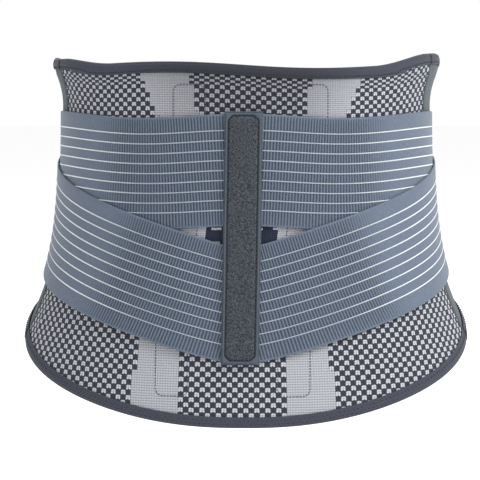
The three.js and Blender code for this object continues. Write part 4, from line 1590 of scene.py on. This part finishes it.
low, high = endLow + closure["margin"], endHigh - closure["margin"]
base, field = hookPad("leftClosurePad", -1, closeStart, closeEnd, low, high, layers["closureHook"])
place(base, "left_front", "hook_tape", ["left_closure_hook"])
place(field, "left_front", "hook_tape")
pads["leftClosurePad"] = (base, [field])
loop = wrapped(
    "rightClosureLoop",
    closeStart,
    closeEnd,
    lambda a: low + 0.0 * a,
    lambda a: high + 0.0 * a,
    layers["loop"],
    materials["loop"],
    1,
    step=1.5,
    row=2.0,
    rim=0.4,
)
place(loop, "right_front", "velour", ["right_closure_loop"])
print("front panels made")


# Pull tabs: the front fabric doubled over the ends of both straps, sewn across them and round its edge
tabEnd = angleFromFront(tab["end"])
leave = strapEnd + frontShift(0.5)
settle = leave + frontShift(2.0)


def tabHalf(angle):
    return tab["height"] / 2.0 * (1.0 - tab["taper"] * np.clip(share(tabStart, tabEnd, angle), 0, 1) ** 3)


def tabInner(angle):
    over, low = layers["tabOverStraps"][0], layers["tabOverPanel"][0]
    return over + (low - over) * smooth(share(leave, settle, angle))


def tabOuter(angle):
    return tabInner(angle) + 1.4


def tabLine(side, angles, heights):
    angles = np.asarray(angles, float)
    return onBody(side * angles, np.asarray(heights, float), tabOuter(angles) + 0.05)


for name, side in sides:
    body = f"{name}_straps"
    middle = waist["height"]
    piece = wrapped(
        f"{name}PullTab",
        tabStart,
        tabEnd,
        lambda angle: middle - tabHalf(angle),
        lambda angle: middle + tabHalf(angle),
        (tabInner, tabOuter),
        materials["front"],
        side,
        step=1.2,
        row=3.0,
        rim=0.6,
    )
    place(piece, body, "front_fabric", [f"{name}_pull_tab"])
    inset = frontShift(2.2)
    first, last = tabStart + inset, tabEnd - inset
    run = np.linspace(first, last, 40)
    rise = np.linspace(-1.0, 1.0, 60)
    edge = tabHalf(run) - 2.2
    lines = [tabLine(side, run, middle + edge), tabLine(side, run, middle - edge)]
    for at in (first, strapEnd - frontShift(1.5), last):
        lines.append(tabLine(side, at + 0.0 * rise, middle + rise * (tabHalf(at) - 2.2)))
    row = stitchObject(f"{name}TabStitches", lines, "darkThread", 2.6, 1.9, 0.6)
    place(row, body, "front_fabric")
    half = tab["height"] / 2.0 * (1.0 - tab["taper"]) - 3.0
    pad = (
        f"{name}TabPad", side, settle + frontShift(tab["padStart"]),
        tabEnd - frontShift(tab["padEnd"]), middle - half, middle + half
    )
    base, field = hookPad(*pad, layers["tabHook"])
    place(base, body, "hook_tape", [f"{name}_tab_hook"])
    place(field, body, "hook_tape")
    pads[base.name] = (base, [field])
    pads[piece.name] = (piece, [row])
print("pull tabs made")


# What each sheet was cut to, in millimetres, before it was sewn and put on
def cutSheet(obj, width, length, held):
    print("sheet", obj.name, round(width), "x", round(length), "mm,", held)


def roundLength(start, end, z):
    return float(arcAtAngle(end, z) - arcAtAngle(start, z))


angles = np.linspace(0.0, 76.0, 40)
knitTall = float(np.mean(topEdge(angles) + topEdge(-angles)) / 2 - np.mean(bottomEdge(angles)))
knitWide = 2 * roundLength(0.0, float(seamAngle(110.0)), 110.0)
hems = [topTape, topStitches, bottomTape, bottomStitches, *sideTapes]
cutSheet(knitPanel, knitWide, knitTall, "stretched")
angles = np.linspace(80.0, 200.0, 60)
frontTall = float(np.mean(topEdge(angles) - bottomEdge(angles)))
frontWide = roundLength(float(seamAngle(waist["height"])), panelEnd, waist["height"])
for name, side in sides:
    panel, hems = fronts[name]
    cutSheet(panel, frontWide, frontTall, "laid")
    lining, seams = linings[name]
    cutSheet(lining, 2 * pocket["halfWidth"], pocket["high"] - pocket["low"], "laid")
    lining, seams = pads[f"{name}FrontPocket"]
    cutSheet(lining, 2 * stay["pocketHalf"], stay["pocketLength"], "laid")
    piece, seams = pads[f"{name}PullTab"]
    cutSheet(piece, tab["start"] - tab["end"], tab["height"] * 0.96, "laid")
    piece, field = pads[f"{name}TabPad"]
    padLength = roundLength(
        settle + frontShift(tab["padStart"]), tabEnd - frontShift(tab["padEnd"]), waist["height"]
    )
    cutSheet(piece, padLength, tab["height"] * (1 - tab["taper"]) - 6.0, "laid")
closeLength = roundLength(closeStart, closeEnd, waist["height"])
padTall = endHigh - endLow - 2 * closure["margin"]
cutSheet(
    pads["leftClosurePad"][0], closeLength, padTall, "laid"
)
cutSheet(loop, closeLength, padTall, "laid")
cutSheet(label, 2 * careLabel["halfWidth"], careLabel["high"] - careLabel["low"], "laid")
stripTall = strip["high"] - strip["low"]
cutSheet(stripTape, 2 * strip["halfWidth"], stripTall, "laid")
inset = 2 * strip["velourInset"]
cutSheet(
    velourStrip,
    2 * strip["halfWidth"] - inset,
    stripTall - inset,
    "laid",
)
for obj, length, lines in webbing.values():
    cutSheet(obj, straps["width"], length, "stretched")


# Floor and lights
def makeStage():
    size = 12.0
    mesh = bpy.data.meshes.new("floor")
    corners = [(-size, -size, -0.13), (size, -size, -0.13), (size, size, -0.13), (-size, size, -0.13)]
    mesh.from_pydata(corners, [], [(0, 1, 2, 3)])
    material, tree, shader = newMaterial("pale floor", 0.9)
    shader.inputs["Base Color"].default_value = toLinear("#fbfbfb")
    mesh.materials.append(material)
    floor = bpy.data.objects.new("floor", mesh)
    bpy.context.scene.collection.objects.link(floor)
    world = bpy.data.worlds.new("studio")
    world.use_nodes = True
    world.node_tree.nodes["Background"].inputs["Color"].default_value = toLinear("#ffffff")
    world.node_tree.nodes["Background"].inputs["Strength"].default_value = 1.0
    bpy.context.scene.world = world
    bpy.context.scene.view_settings.view_transform = "Standard"  # colours as they are given
    lamps = [
        ("keyLight", (1.9, -1.4, 2.3), 1.6, 90.0),
        ("fillLight", (-1.9, -1.9, 0.9), 1.8, 3.0),
        ("frontLight", (0.4, 2.4, 1.6), 2.2, 12.0),
    ]
    for name, spot, width, power in lamps:
        data = bpy.data.lights.new(name, "AREA")
        data.size = width
        data.energy = power
        lamp = bpy.data.objects.new(name, data)
        lamp.location = spot
        lamp.rotation_euler = (Vector(spot) - Vector((0, 0, 0.12))).to_track_quat("Z", "Y").to_euler()
        lamp.visible_camera = False
        bpy.context.scene.collection.objects.link(lamp)


makeStage()
